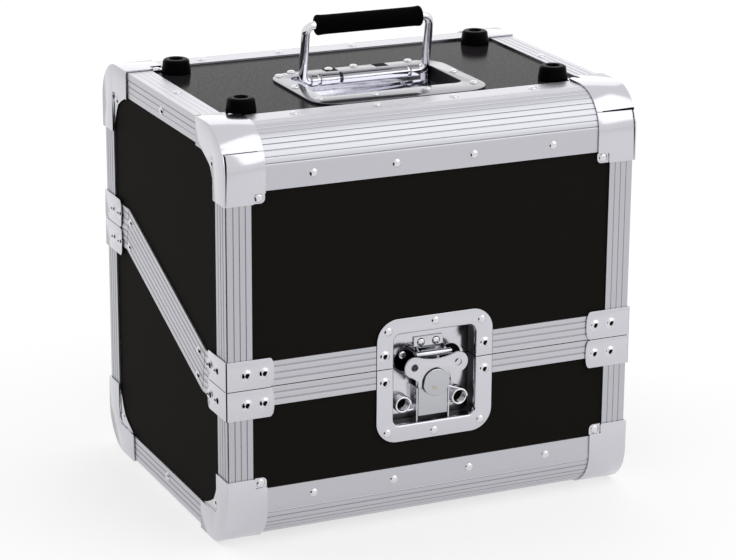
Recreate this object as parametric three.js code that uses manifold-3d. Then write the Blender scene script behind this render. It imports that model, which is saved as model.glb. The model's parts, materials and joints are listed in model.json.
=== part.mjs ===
// Record carrying case for about eighty long-playing records in their sleeves.
// Plywood panels with black laminate sit in aluminium edge profiles, and pressed steel caps
// and brackets hold the corners. The case parts along a line that runs level at the front,
// climbs along both sides and runs level again at the back, where a long hinge joins the
// lid to the base. A recessed turn latch closes the front and a folding handle lies on top.
// Units are millimetres. +Z is up, +X is to the right and the latch faces -Y.

import * as THREE from "three";
import { mergeVertices } from "three/addons/utils/BufferGeometryUtils.js";
import Module from "manifold-3d";

const wasm = await Module();
wasm.setup();

// Driving dimensions of the shell, taken over the aluminium profiles
const caseWidth = 368;
const caseDepth = 285;
const caseHeight = 353;
const splitHeightFront = 138;
const lidHeightBack = 143.5;
const slopeStartFromFront = 52.5;
const slopeEndFromBack = 53.2;

// Walls and the gaps between pieces
const panelThickness = 7;
const skin = 1.5;
const innerSkin = 1.2;
const fit = 0.3;
const splitGap = 0.6;
const weld = 0.1;
const overrun = 40;
const coarseSteps = 3;
const boreFacets = 8;

// Aluminium profiles: the rounded ones run left to right, the plain angles run the other ways
const cornerRadius = 34;
const roundLip = 16;
const roundLinerLip = 12;
const roundGrooveCount = 9;
const innerArcSteps = 6;
const angleLeg = 22;
const angleEdgeRadius = 1.2;
const angleFirstGroove = 6.2;
const angleGroovePitch = 5.3;
const angleGrooveCount = 3;
const grooveWidth = 1;
const grooveDepth = 0.4;

// Closing profiles: a tongue on the base enters a channel in the lid
const baseRimHeight = 16.5;
const baseRimLiner = 12;
const baseRimGrooveCount = 2;
const lidRimHeight = 21.5;
const lidRimLiner = 15;
const lidRimGrooveCount = 3;
const rimFirstGroove = 5.6;
const rimGroovePitch = 5.6;
const rimKerfWidth = 0.5;
const rimKerfDepth = 0.6;
const tongueInset = 3.6;
const tongueWidth = 2.5;
const tongueTaper = 0.3;
const tongueHeight = 4;
const channelDepth = 5;
const channelInnerInset = 7.9;

// Pressed steel corner caps
const capSheet = 1.2;
const capReach = 60;
const capStripWidth = 34;
const capEarRadius = 4;
const capBandRadius = 5;
const capHollowInset = 33.9;
const capHollowNear = 27.6;
const capHollowFar = 42.6;
const capSeamWidth = 0.6;
const capSeamDepth = 0.8;
const capSeamPlaceLeft = 17.5;
const capSeamPlaceRight = 16.5;
const capSlitWidth = 1.6;
const capSlitTaper = 8;
const capArcSteps = 8;

// Corner brackets beside the split
const bracketSheet = 1.2;
const bracketLeg = 40.5;
const bracketStraight = 36.5;
const bracketHeight = 25;
const bracketSteps = 4;
const bracketBendNotch = 0.7;

// Long back hinge
const hingeFromSide = 63;
const hingeKnuckleCount = 11;
const hingeKnuckleGap = 0.5;
const hingeSheet = 1.2;
const hingeLeafHeight = 16;
const hingeBarrelRadius = 3.2;
const hingePinRadius = 1.6;
const hingePinPlay = 0.08;
const hingeLeafClearance = 0.8;
const hingeFacets = 12;

// Recessed latch, a little right of the middle: heights count from the split, depths from
// the face of its flange
const latchFromMiddle = 1.4;
const latchHalfWidth = 53.2;
const latchTop = 42.5;
const latchBottom = 65.5;
const latchCornerRadius = 19;
const latchFlange = 2;
const latchMouthHalfWidth = 37.5;
const latchMouthTop = 28.7;
const latchMouthBottom = 51;
const latchMouthRadius = 6;
const latchDepth = 15;
const latchSheet = 1.2;
const latchWindowRadius = 9.5;
const latchWindowOffset = 21;
const latchCornerSteps = 4;
const latchPlay = 0.6;

// Two close-wound return springs stand on the floor of the lower dish
const springOffset = 26.1;
const springBelowSplit = 35.4;
const springRadius = 7.6;
const springWire = 2.2;
const springTurns = 4;
const springFacets = 12;
const springGrooveShare = 0.3;

// Turning disc of the latch and the bearing behind it
const knobRadius = 12;
const knobThickness = 3;
const knobFace = 4.2;
const knobRim = 0.8;
const knobBelowSplit = 16.4;
const knobNeckRadius = 4;
const knobBoreRadius = 1.5;
const knobFacets = 24;
const bossRadius = 7;
const bossHeight = 3;
const bossPlay = 0.35;

// Folding wing of the latch
const wingSheet = 1.5;
const wingBackGap = 1.5;
const wingLobeOffset = 20;
const wingLobeRise = 15.3;
const wingLobeRadius = 9;
const wingHoleRadius = 3.2;
const wingDip = 20.2;
const wingCutRadius = 13.5;
const wingWaist = 16.6;
const wingLegDrop = 2.6;
const wingPivotDepth = 0.4;
const wingPinRadius = 1.2;
const wingEarReach = 1.4;
const wingArcSteps = 8;
const wingLobeFootShare = 0.42;
const wingLobeTopShare = 0.62;
const wingFlareShare = 0.25;

// Sliding hook and its guides
const hookSheet = 1.5;
const hookFrontDepth = 3.3;
const hookBackDepth = 9.4;
const hookLowerHalfWidth = 13.4;
const hookUpperHalfWidth = 8;
const hookLowerEnd = 46.5;
const hookBendLow = 16;
const hookBendHigh = 8;
const hookUpperEnd = 8.4;
const hookTravel = 6;
const guideGap = 0.6;
const guideTop = 21.5;
const guideFront = 3.2;

// Keeper on the lid side of the latch
const keeperHalfWidth = 13.3;
const keeperTop = 19.6;
const keeperFoot = 9;
const keeperSheet = 1.5;
const keeperBarRadius = 2.6;
const keeperBarOverhang = 2.9;
const keeperBarDepth = 3.8;
const keeperBarRise = 7.4;
const keeperArmWidth = 1.8;
const keeperBarFacets = 12;

// Handle on the lid: places along the depth count back from the plate's front edge, and the
// barrel with its bail stands a little right of the middle
const plateWidth = 160;
const plateDepth = 119;
const plateFrontGap = 2.5;
const plateCornerRadius = 24;
const plateSheet = 1.7;
const dishEndGap = 0.55;
const dishFromPlateFront = 29;
const dishDepth = 13.5;
const dishSheet = 1.2;
const dishCornerRadius = 7;
const dishCornerSteps = 3;
const notchDepth = 5.5;
const notchWidth = 12;
const notchPlaceLeft = 21;
const notchPlaceRight = 26;
const barrelFromPlateFront = 96;
const barrelFromMiddle = 3.2;
const barrelDrop = 3;
const barrelOuterRadius = 5.5;
const barrelSlotOuter = 40;
const barrelSlotInner = 20;
const barrelSlotRight = 44;
const barrelSlotWidth = 3;
const barrelFacets = 16;
const bailRodRadius = 3.75;
const bailHalfWidth = 57.5;
const bailReach = 50;
const bailBend = 7;
const bailBendSteps = 5;
const bailEndInset = 30;
const bailPlay = 0.35;
const bailLean = THREE.MathUtils.degToRad(9);
const bailSides = 10;
const gripRadius = 8.3;
const gripHalfLength = 48;
const gripEndRadius = 1.6;
const gripFacets = 16;

// Rubber feet on the lid
const footRadius = 12.6;
const footShoulderRadius = 11.4;
const footHeight = 12;
const footRound = 2.6;
const footDishRadius = 5.8;
const footHoleRadius = 3.8;
const footHoleDepth = 6;
const footRoundSteps = 3;
const footFromSide = 41.5;
const footFromFace = 68.5;
const footFacets = 16;

// Places worked out from the driving dimensions
const splitHeightBack = caseHeight - lidHeightBack;
const halfWidth = caseWidth / 2;
const hingeLength = caseWidth - 2 * hingeFromSide;
const halfDepth = caseDepth / 2;
const panelInset = skin + fit;
const panelBack = panelInset + panelThickness;
const linerStart = panelBack + fit;
const linerEnd = linerStart + innerSkin;
const roundLeg = cornerRadius + roundLip;
const capProud = fit + capSheet;
const slopeStartY = slopeStartFromFront - halfDepth;
const slopeEndY = halfDepth - slopeEndFromBack;
const slopeAngle = Math.atan2(splitHeightBack - splitHeightFront, slopeEndY - slopeStartY);
const slopeLean = Math.tan(slopeAngle / 2);
const halfGap = splitGap / 2;
const baseWebEnd = halfGap + skin;
const lidWebEnd = halfGap + channelDepth + skin;
const plateFrontEdge = halfDepth - roundLeg - plateFrontGap;
const barrelPlace = barrelFromPlateFront - plateFrontEdge;
const barrelHalfLength = bailHalfWidth - bailBend;
const dishHalfWidth = barrelFromMiddle + bailHalfWidth + bailRodRadius + dishEndGap;
const dishFrontEdge = plateFrontEdge - dishFromPlateFront;
const latchFace = halfDepth - panelInset + fit + latchFlange;
const frontReach = latchFace + knobFace;
const hingeAxisY = halfDepth + fit + hingeBarrelRadius;
const backReach = hingeAxisY + hingeBarrelRadius;

// Finishes, one material for each mesh
const finishes = {
  laminate: { color: 0x201e1c, roughness: 0.42, metalness: 0 },
  aluminium: { color: 0xc9cacf, roughness: 0.38, metalness: 0.85 },
  chrome: { color: 0xd8d9dd, roughness: 0.16, metalness: 1 },
  zinc: { color: 0xc4c5c9, roughness: 0.3, metalness: 0.95 },
  rubber: { color: 0x0b0b0c, roughness: 0.6, metalness: 0 },
};

function finished(name, geometry, finish) {
  const mesh = new THREE.Mesh(geometry, new THREE.MeshStandardMaterial(finishes[finish]));
  mesh.name = name;
  return mesh;
}

// A closed geometry with shared corners and no flat triangles
function closed(geometry) {
  const bare = geometry.clone();
  bare.deleteAttribute("normal");
  bare.deleteAttribute("uv");
  const merged = mergeVertices(bare);
  const index = merged.index.array;
  const kept = [];
  for (let i = 0; i < index.length; i += 3) {
    const [a, b, c] = [index[i], index[i + 1], index[i + 2]];
    if (a !== b && b !== c && c !== a) kept.push(a, b, c);
  }
  merged.setIndex(kept);
  return merged;
}

function toSolid(geometry) {
  const mesh = closed(geometry);
  return new wasm.Manifold(new wasm.Mesh({
    numProp: 3,
    vertProperties: new Float32Array(mesh.attributes.position.array),
    triVerts: new Uint32Array(mesh.index.array),
  }));
}

function toGeometry(solid) {
  const mesh = solid.getMesh();
  const geometry = new THREE.BufferGeometry();
  geometry.setAttribute("position", new THREE.BufferAttribute(new Float32Array(mesh.vertProperties), 3));
  geometry.setIndex(Array.from(mesh.triVerts));
  return geometry;
}

function join(...geometries) {
  return toGeometry(geometries.map(toSolid).reduce((whole, piece) => whole.add(piece)));
}

function cut(geometry, ...tools) {
  return toGeometry(tools.map(toSolid).reduce((left, tool) => left.subtract(tool), toSolid(geometry)));
}

// Mirrors a geometry across the planes whose sign is negative and keeps its faces outwards
function flipped(geometry, signX, signY, signZ) {
  const copy = closed(geometry);
  copy.scale(signX, signY, signZ);
  if (signX * signY * signZ < 0) {
    copy.setIndex(Array.from(copy.index.array).reverse());
  }
  return copy;
}

function polygon(points) {
  return new THREE.Shape(points.map(([x, y]) => new THREE.Vector2(x, y)));
}

function rectangle(left, bottom, right, top) {
  return polygon([[left, bottom], [right, bottom], [right, top], [left, top]]);
}

function roundedRectangle(left, bottom, right, top, radius) {
  const shape = new THREE.Shape();
  shape.moveTo(left + radius, bottom);
  shape.lineTo(right - radius, bottom);
  shape.absarc(right - radius, bottom + radius, radius, -Math.PI / 2, 0, false);
  shape.lineTo(right, top - radius);
  shape.absarc(right - radius, top - radius, radius, 0, Math.PI / 2, false);
  shape.lineTo(left + radius, top);
  shape.absarc(left + radius, top - radius, radius, Math.PI / 2, Math.PI, false);
  shape.lineTo(left, bottom + radius);
  shape.absarc(left + radius, bottom + radius, radius, Math.PI, Math.PI * 1.5, false);
  return shape;
}

function circle(x, y, radius) {
  const shape = new THREE.Shape();
  shape.absarc(x, y, radius, 0, Math.PI * 2, false);
  return shape;
}

// Extrusions whose outline lies square to the named axis, from the lower to the higher place
function alongZ(shape, low, high, curveSegments = 1) {
  const solid = new THREE.ExtrudeGeometry(shape, { depth: high - low, bevelEnabled: false, curveSegments });
  solid.translate(0, 0, low);
  return solid;
}

// The outline's two directions become Y and Z
function alongX(shape, low, high, curveSegments = 1) {
  const solid = alongZ(shape, low, high, curveSegments);
  const turn = new THREE.Matrix4().makeBasis(
    new THREE.Vector3(0, 1, 0), new THREE.Vector3(0, 0, 1), new THREE.Vector3(1, 0, 0));
  return solid.applyMatrix4(turn);
}

// The outline's two directions become X and Z
function alongY(shape, low, high, curveSegments = 1) {
  const solid = alongZ(shape, -high, -low, curveSegments);
  return solid.rotateX(Math.PI / 2);
}

function box(lowX, lowY, lowZ, highX, highY, highZ) {
  return alongZ(rectangle(lowX, lowY, highX, highY), lowZ, highZ);
}

// A bar with a round section along X
function roundBar(y, z, radius, lowX, highX, facets) {
  return alongX(circle(y, z, radius), lowX, highX, facets / 2);
}

// Fine V grooves let into a straight edge of a section
function groovedEdge(start, along, inward, places) {
  const half = grooveWidth / 2;
  const steps = places.flatMap((place) => [[place - half, 0], [place, grooveDepth], [place + half, 0]]);
  return steps.map(([run, sink]) => [
    start[0] + along[0] * run + inward[0] * sink,
    start[1] + along[1] * run + inward[1] * sink,
  ]);
}

function arcPoints(centre, radius, fromAngle, toAngle, steps) {
  return Array.from({ length: steps + 1 }, (_, i) => {
    const angle = fromAngle + ((toAngle - fromAngle) * i) / steps;
    return [centre[0] + radius * Math.cos(angle), centre[1] + radius * Math.sin(angle)];
  });
}

// Plain angle profile: its outer corner is the origin and its legs run along both directions
function angleSection() {
  const places = Array.from({ length: angleGrooveCount }, (_, i) => angleFirstGroove + i * angleGroovePitch);
  const corner = [angleEdgeRadius, angleEdgeRadius];
  return polygon([
    ...arcPoints(corner, angleEdgeRadius, Math.PI, Math.PI * 1.5, 2),
    ...groovedEdge([0, 0], [1, 0], [0, 1], places),
    [angleLeg, 0],
    [angleLeg, skin],
    [skin, skin],
    [skin, angleLeg],
    [0, angleLeg],
    ...groovedEdge([0, angleLeg], [0, -1], [1, 0], places.map((place) => angleLeg - place).reverse()),
  ]);
}

// Rounded edge profile: the sharp corner that it replaces is the origin
function roundSkinSection() {
  const centre = [cornerRadius, cornerRadius];
  const turn = Math.PI / 2 / (roundGrooveCount + 1);
  const half = grooveWidth / 2 / cornerRadius;
  const points = [[0, roundLeg], [0, cornerRadius]];
  for (let i = 1; i <= roundGrooveCount; i += 1) {
    const angle = Math.PI + turn * i;
    const place = (shift, radius) => arcPoints(centre, radius, angle + shift, angle + shift, 1)[0];
    points.push(place(-half, cornerRadius), place(0, cornerRadius - grooveDepth), place(half, cornerRadius));
  }
  points.push([cornerRadius, 0], [roundLeg, 0], [roundLeg, skin]);
  points.push(...arcPoints(centre, cornerRadius - skin, Math.PI * 1.5, Math.PI, innerArcSteps));
  points.push([skin, roundLeg]);
  return polygon(points);
}

// Inner wall of the rounded profile with the two channels that take the panel edges
function roundLinerSection() {
  const centre = [cornerRadius, cornerRadius];
  const webEnd = cornerRadius + innerSkin;
  const lipEnd = cornerRadius + roundLinerLip;
  const start = skin - weld;
  return polygon([
    [start, cornerRadius],
    ...arcPoints(centre, cornerRadius - linerStart, Math.PI, Math.PI * 1.5, innerArcSteps),
    [cornerRadius, start],
    [webEnd, start],
    [webEnd, linerStart],
    [lipEnd, linerStart],
    [lipEnd, linerEnd],
    ...arcPoints(centre, cornerRadius - linerEnd, Math.PI * 1.5, Math.PI, innerArcSteps),
    [linerEnd, lipEnd],
    [linerStart, lipEnd],
    [linerStart, webEnd],
    [start, webEnd],
  ]);
}

// A rounded edge at the front bottom, to be flipped into its place
function roundedEdge() {
  const panelEnd = halfWidth - linerStart;
  return join(
    alongX(roundSkinSection(), -halfWidth, halfWidth),
    alongX(roundLinerSection(), -panelEnd, panelEnd),
  );
}

function rimGrooves(count) {
  return Array.from({ length: count }, (_, i) => rimFirstGroove + i * rimGroovePitch);
}

// Closing profiles as sections of inset from the outer face and height from the split
function baseRimSection() {
  const tongueEnd = tongueInset + tongueWidth;
  const tip = tongueHeight - halfGap;
  return [
    [0, -baseRimHeight],
    ...groovedEdge([0, 0], [0, -1], [1, 0], rimGrooves(baseRimGrooveCount)).reverse(),
    [0, -halfGap],
    [tongueInset, -halfGap],
    [tongueInset + tongueTaper, tip],
    [tongueEnd - tongueTaper, tip],
    [tongueEnd, -halfGap],
    [linerEnd, -halfGap],
    [linerEnd, -baseRimLiner],
    [linerStart, -baseRimLiner],
    [linerStart, -baseWebEnd],
    [skin, -baseWebEnd],
    [skin, -baseRimHeight],
  ];
}

function lidRimSection() {
  const channelTop = halfGap + channelDepth;
  return [
    [0, halfGap],
    ...groovedEdge([0, 0], [0, 1], [1, 0], rimGrooves(lidRimGrooveCount)),
    [0, lidRimHeight],
    [skin, lidRimHeight],
    [skin, lidWebEnd],
    [linerStart, lidWebEnd],
    [linerStart, lidRimLiner],
    [linerEnd, lidRimLiner],
    [linerEnd, halfGap],
    [channelInnerInset, halfGap],
    [channelInnerInset, channelTop],
    [skin, channelTop],
    [skin, halfGap],
  ];
}

// The eight bends of the split line, each with its inward and upward directions
function splitBends() {
  const corner = (sideX, sideY, height) => ({
    at: [sideX * halfWidth, sideY * halfDepth, height],
    inward: [-sideX, -sideY, 0],
    up: [0, 0, 1],
  });
  const bend = (sideX, y, height) => ({
    at: [sideX * halfWidth, y, height],
    inward: [-sideX, 0, 0],
    up: [0, -slopeLean, 1],
  });
  return [
    corner(-1, -1, splitHeightFront),
    corner(1, -1, splitHeightFront),
    bend(1, slopeStartY, splitHeightFront),
    bend(1, slopeEndY, splitHeightBack),
    corner(1, 1, splitHeightBack),
    corner(-1, 1, splitHeightBack),
    bend(-1, slopeEndY, splitHeightBack),
    bend(-1, slopeStartY, splitHeightFront),
  ];
}

// A section carried round the split line with a mitre at every bend
function mitredRing(section) {
  const bends = splitBends();
  const positions = bends.flatMap(({ at, inward, up }) =>
    section.flatMap(([inset, height]) => at.map((value, k) => value + inset * inward[k] + height * up[k])));
  const count = section.length;
  const indices = [];
  bends.forEach((_, ring) => {
    const next = (ring + 1) % bends.length;
    for (let i = 0; i < count; i += 1) {
      const j = (i + 1) % count;
      const [a, b, c, d] = [ring * count + i, ring * count + j, next * count + j, next * count + i];
      indices.push(a, b, c, a, c, d);
    }
  });
  const geometry = new THREE.BufferGeometry();
  geometry.setAttribute("position", new THREE.Float32BufferAttribute(positions, 3));
  geometry.setIndex(indices);
  return geometry;
}

// Saw lines that stay open where the profile is mitred at the bends of its slope
function mitreKerfs() {
  const half = rimKerfWidth / 2;
  const bends = splitBends().filter(({ up }) => up[1] !== 0);
  return bends.map(({ at }) => {
    const kerf = box(-rimKerfDepth, -half, -overrun, rimKerfDepth, half, overrun);
    return kerf.rotateX(slopeAngle / 2).translate(...at);
  });
}

// The closing profile stops on both sides of the latch flange
function rim(section) {
  const gap = latchHalfWidth + fit;
  const middle = splitHeightFront;
  const opening = box(
    latchFromMiddle - gap, -halfDepth - overrun, middle - overrun,
    latchFromMiddle + gap, -halfDepth + overrun, middle + overrun);
  const ring = mitredRing(section);
  return cut(volumeOf(ring) > 0 ? ring : flipFaces(ring), opening, ...mitreKerfs());
}

function volumeOf(geometry) {
  const position = geometry.attributes.position;
  const index = geometry.index.array;
  const [a, b, c] = [new THREE.Vector3(), new THREE.Vector3(), new THREE.Vector3()];
  let total = 0;
  for (let i = 0; i < index.length; i += 3) {
    a.fromBufferAttribute(position, index[i]);
    b.fromBufferAttribute(position, index[i + 1]);
    c.fromBufferAttribute(position, index[i + 2]);
    total += a.dot(b.cross(c)) / 6;
  }
  return total;
}

function flipFaces(geometry) {
  geometry.setIndex(Array.from(geometry.index.array).reverse());
  return geometry;
}

// A point of the split line, moved square to it by the given height
function splitPoint(bendY, bendHeight, height) {
  return [bendY - slopeLean * height, bendHeight + height];
}

// Side panels follow the rounded edges and the split
function sidePanelShape(isLid) {
  const reach = halfDepth - panelInset;
  const radius = cornerRadius - panelInset;
  const edge = isLid ? lidWebEnd + fit : -(baseWebEnd + fit);
  const shape = new THREE.Shape();
  shape.moveTo(-reach, splitHeightFront + edge);
  shape.lineTo(...splitPoint(slopeStartY, splitHeightFront, edge));
  shape.lineTo(...splitPoint(slopeEndY, splitHeightBack, edge));
  shape.lineTo(reach, splitHeightBack + edge);
  if (isLid) {
    const top = caseHeight - panelInset;
    shape.absarc(reach - radius, top - radius, radius, 0, Math.PI / 2, false);
    shape.absarc(radius - reach, top - radius, radius, Math.PI / 2, Math.PI, false);
  } else {
    shape.absarc(reach - radius, panelInset + radius, radius, 0, -Math.PI / 2, true);
    shape.absarc(radius - reach, panelInset + radius, radius, -Math.PI / 2, -Math.PI, true);
  }
  return shape;
}

function sidePanel(isLid, side) {
  const outer = halfWidth - panelInset;
  const inner = halfWidth - panelBack;
  const places = side > 0 ? [inner, outer] : [-outer, -inner];
  return alongX(sidePanelShape(isLid), ...places, innerArcSteps);
}

// Front and back panels stand between the side panels
const panelHalfWidth = halfWidth - linerStart;
const panelEdge = cornerRadius + innerSkin + fit;

function wallPanel(low, high, isFront) {
  const shape = rectangle(-panelHalfWidth, low, panelHalfWidth, high);
  const places = [halfDepth - panelBack, halfDepth - panelInset];
  return isFront ? alongY(shape, -places[1], -places[0]) : alongY(shape, ...places);
}

// The cut-out for the latch tub, open at the split
function latchCutOut() {
  const half = latchMouthHalfWidth + latchSheet + latchPlay;
  const low = splitHeightFront - latchMouthBottom - latchSheet - latchPlay;
  const high = splitHeightFront + latchMouthTop + latchSheet + latchPlay;
  const [left, right] = [latchFromMiddle - half, latchFromMiddle + half];
  return box(left, -halfDepth - overrun, low, right, -halfDepth + overrun, high);
}

function flatPanel(low) {
  const edge = halfDepth - panelEdge;
  return box(-panelHalfWidth, -edge, low, panelHalfWidth, edge, low + panelThickness);
}

function handleCutOut() {
  const half = dishHalfWidth + dishSheet + latchPlay;
  const back = barrelPlace + barrelOuterRadius + dishSheet + latchPlay;
  const front = dishFrontEdge + dishSheet + latchPlay;
  return box(-half, -front, caseHeight - overrun, half, back, caseHeight + overrun);
}

// Corner caps: the sharp corner of the shell is the origin and the three directions run inwards.
// The strip follows the rounded edge, the side flange lies on the side panel, and small ears
// step down to the panels, where rivets hold them.
function capFlangeShape() {
  const centre = [cornerRadius, cornerRadius];
  const band = angleLeg + fit + capSheet;
  const inner = [band + capBandRadius, band + capBandRadius];
  return polygon([
    [-capProud, capReach],
    ...arcPoints(centre, cornerRadius + capProud, Math.PI, Math.PI * 1.5, capArcSteps),
    [capReach, -capProud],
    [capReach, band],
    ...arcPoints(inner, capBandRadius, Math.PI * 1.5, Math.PI, 3),
    [band, capReach],
  ]);
}

// The step and the sunk ear of the side flange, with their hollow inner edge
function capSideEarShape() {
  const start = angleLeg + fit;
  const end = capReach - capSheet;
  const shape = new THREE.Shape();
  shape.moveTo(start, end);
  shape.quadraticCurveTo(capHollowNear, capHollowFar, capHollowInset, capHollowInset);
  shape.quadraticCurveTo(capHollowFar, capHollowNear, end, start);
  shape.lineTo(start + capBandRadius, start);
  shape.absarc(start + capBandRadius, start + capBandRadius, capBandRadius, Math.PI * 1.5, Math.PI, true);
  return shape;
}

function capSideStepShape() {
  const start = angleLeg + fit;
  const end = capReach - capSheet;
  const band = start + capSheet;
  const outer = [start + capBandRadius, start + capBandRadius];
  const inner = [band + capBandRadius, band + capBandRadius];
  return polygon([
    [start, end],
    ...arcPoints(outer, capBandRadius, Math.PI, Math.PI * 1.5, 3),
    [end, start],
    [end, band],
    ...arcPoints(inner, capBandRadius, Math.PI * 1.5, Math.PI, 3),
    [band, end],
  ]);
}

function capStripSection() {
  const centre = [cornerRadius, cornerRadius];
  return polygon([
    [-capProud, capReach],
    ...arcPoints(centre, cornerRadius + capProud, Math.PI, Math.PI * 1.5, capArcSteps),
    [capReach, -capProud],
    [capReach, -fit],
    ...arcPoints(centre, cornerRadius + fit, Math.PI * 1.5, Math.PI, capArcSteps),
    [-fit, capReach],
  ]);
}

// The ear at the end of a flap: a step round it and a sunk pad, seen square to the flap.
// It lies between the end of the rounded profile's lip and the edge of the plain angle.
function capFlapEar() {
  const low = angleLeg + fit;
  const start = roundLeg + fit;
  const outline = (innerX, innerY) => {
    const shape = new THREE.Shape();
    shape.moveTo(innerX, innerY);
    shape.lineTo(capStripWidth, innerY);
    shape.lineTo(capStripWidth, capReach - capEarRadius);
    shape.absarc(capStripWidth - capEarRadius, capReach - capEarRadius, capEarRadius, 0, Math.PI / 2, false);
    shape.lineTo(innerX, capReach);
    return shape;
  };
  return { step: outline(low, start), well: outline(low + capSheet, start + capSheet) };
}

function cornerCap(seamPlace) {
  const flange = alongX(capFlangeShape(), -capProud, -fit);
  const sideStep = alongX(capSideStepShape(), -capProud, skin);
  const sideEar = alongX(capSideEarShape(), fit, skin, coarseSteps);
  const strip = alongX(capStripSection(), -capProud, capStripWidth);
  const ear = capFlapEar();
  const wallStep = alongY(ear.step, -capProud, skin, coarseSteps);
  const wallWell = alongY(ear.well, -overrun, fit, coarseSteps);
  const flatStep = swapYZ(wallStep);
  const flatWell = swapYZ(wallWell);
  const trim = capTrim();
  const whole = join(flange, sideStep, sideEar, strip, wallStep, flatStep);
  return cut(whole, wallWell, flatWell, trim, swapYZ(trim), ...capSeam(seamPlace));
}

// Takes off the square corner of each flap outside the ear's round end
function capTrim() {
  const shape = new THREE.Shape();
  const [x, z] = [capStripWidth, capReach];
  shape.moveTo(x, z - capEarRadius);
  shape.lineTo(x + weld, z - capEarRadius);
  shape.lineTo(x + weld, z + weld);
  shape.lineTo(x - capEarRadius, z + weld);
  shape.lineTo(x - capEarRadius, z);
  shape.absarc(x - capEarRadius, z - capEarRadius, capEarRadius, Math.PI / 2, 0, true);
  return alongY(shape, -overrun, skin + weld, coarseSteps);
}

// How far a round of the strip lies behind the case's face, at a place counted from its edge
function stripDepth(radius, place) {
  return cornerRadius - Math.sqrt(radius ** 2 - (cornerRadius - place) ** 2);
}

// The seam across the wall flap and the tapered slit between that flap and the side flange
function capSeam(place) {
  const outer = stripDepth(cornerRadius + capProud, place);
  const inner = stripDepth(cornerRadius + fit, place);
  const right = capStripWidth + weld;
  const seam = box(-fit, -overrun, place, right, outer + capSeamDepth, place + capSeamWidth);
  const bottom = capReach + weld;
  const outline = polygon([
    [-fit, place],
    [capSlitWidth - fit, place + capSlitWidth],
    [capSlitWidth - fit, place + capSlitTaper],
    [0, bottom],
    [-fit, bottom],
  ]);
  return [seam, alongY(outline, -overrun, inner + fit)];
}

function swapYZ(geometry) {
  const copy = closed(geometry);
  const swap = new THREE.Matrix4().makeBasis(
    new THREE.Vector3(1, 0, 0), new THREE.Vector3(0, 0, 1), new THREE.Vector3(0, 1, 0));
  copy.applyMatrix4(swap);
  return flipFaces(copy);
}

// Corner brackets: two legs round the upright edge, above the split as drawn
function bracketLegShape() {
  const [low, high] = [halfGap, halfGap + bracketHeight];
  const middle = (low + high) / 2;
  const shape = new THREE.Shape();
  shape.moveTo(-capProud, low);
  shape.lineTo(bracketStraight, low);
  shape.quadraticCurveTo(bracketLeg, low, bracketLeg, middle);
  shape.quadraticCurveTo(bracketLeg, high, bracketStraight, high);
  shape.lineTo(-capProud, high);
  return shape;
}

// The blank is nicked along the fold, which leaves an open line down the outer edge
function cornerBracket() {
  const outer = fit + bracketSheet;
  const folded = join(
    alongY(bracketLegShape(), -outer, -fit, bracketSteps),
    alongX(bracketLegShape(), -outer, -fit, bracketSteps),
  );
  const nick = bracketBendNotch - outer;
  return cut(folded, box(-overrun, -overrun, -overrun, nick, nick, overrun));
}

// Hinge leaves: the axis is the origin, the case lies towards -Y and the lid leaf stands up
function hingeLeaf(startsWith, side) {
  const pitch = hingeLength / hingeKnuckleCount;
  const half = hingeLength / 2;
  const sheetInner = -hingeBarrelRadius;
  const sheetOuter = sheetInner + hingeSheet;
  const plateStart = hingeBarrelRadius + hingeLeafClearance;
  const plate = rectangle(sheetInner, plateStart, sheetOuter, hingeLeafHeight);
  const stem = rectangle(sheetInner, 0, sheetOuter, plateStart + weld);
  const pieces = [alongX(plate, -half, half)];
  for (let i = startsWith; i < hingeKnuckleCount; i += 2) {
    const low = -half + i * pitch + hingeKnuckleGap / 2;
    const high = low + pitch - hingeKnuckleGap;
    pieces.push(alongX(stem, low, high));
    pieces.push(roundBar(0, 0, hingeBarrelRadius, low, high, hingeFacets));
  }
  const bore = roundBar(0, 0, hingePinRadius + hingePinPlay, -half - overrun, half + overrun, hingeFacets);
  const leaf = cut(join(...pieces), bore);
  return side > 0 ? leaf : flipped(leaf, 1, 1, -1);
}

// Latch dishes: the origin is the middle of the split at the flange's face, depth runs along +Y
function latchOutline(grow) {
  const half = latchMouthHalfWidth + grow;
  const [low, high] = [-latchMouthBottom - grow, latchMouthTop + grow];
  return roundedRectangle(-half, low, half, high, latchMouthRadius + grow);
}

function latchDish(isUpper) {
  const flangeShape = roundedRectangle(
    -latchHalfWidth, -latchBottom, latchHalfWidth, latchTop, latchCornerRadius);
  flangeShape.holes.push(latchOutline(0));
  const wallShape = latchOutline(latchSheet);
  wallShape.holes.push(latchOutline(0));
  const floorShape = latchOutline(latchSheet);
  for (const side of [-1, 1]) {
    floorShape.holes.push(circle(side * latchWindowOffset, 0, latchWindowRadius));
  }
  const steps = latchCornerSteps;
  const dish = join(
    alongY(flangeShape, 0, latchFlange, steps),
    alongY(wallShape, weld, latchDepth + latchSheet, steps),
    alongY(floorShape, latchDepth, latchDepth + latchSheet, steps),
  );
  const far = latchBottom + overrun;
  const wide = latchHalfWidth + overrun;
  const away = isUpper ? [-far, halfGap] : [-halfGap, far];
  return cut(dish, box(-wide, -overrun, away[0], wide, overrun, away[1]));
}

// One coil of a return spring, with its axis along the depth and its turns pressed together
function returnSpring() {
  const front = latchDepth - springTurns * springWire;
  const valley = springRadius - springWire * springGrooveShare;
  const inner = springRadius - springWire;
  const profile = [[inner, front + springWire / 2], [springRadius - springWire / 2, front]];
  for (let turn = 0; turn < springTurns; turn += 1) {
    profile.push([springRadius, front + (turn + 1 / 2) * springWire]);
    profile.push([valley, front + (turn + 1) * springWire]);
  }
  profile.push([valley, latchDepth + weld], [inner, latchDepth + weld], profile[0]);
  return turned(profile, springFacets);
}

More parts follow.
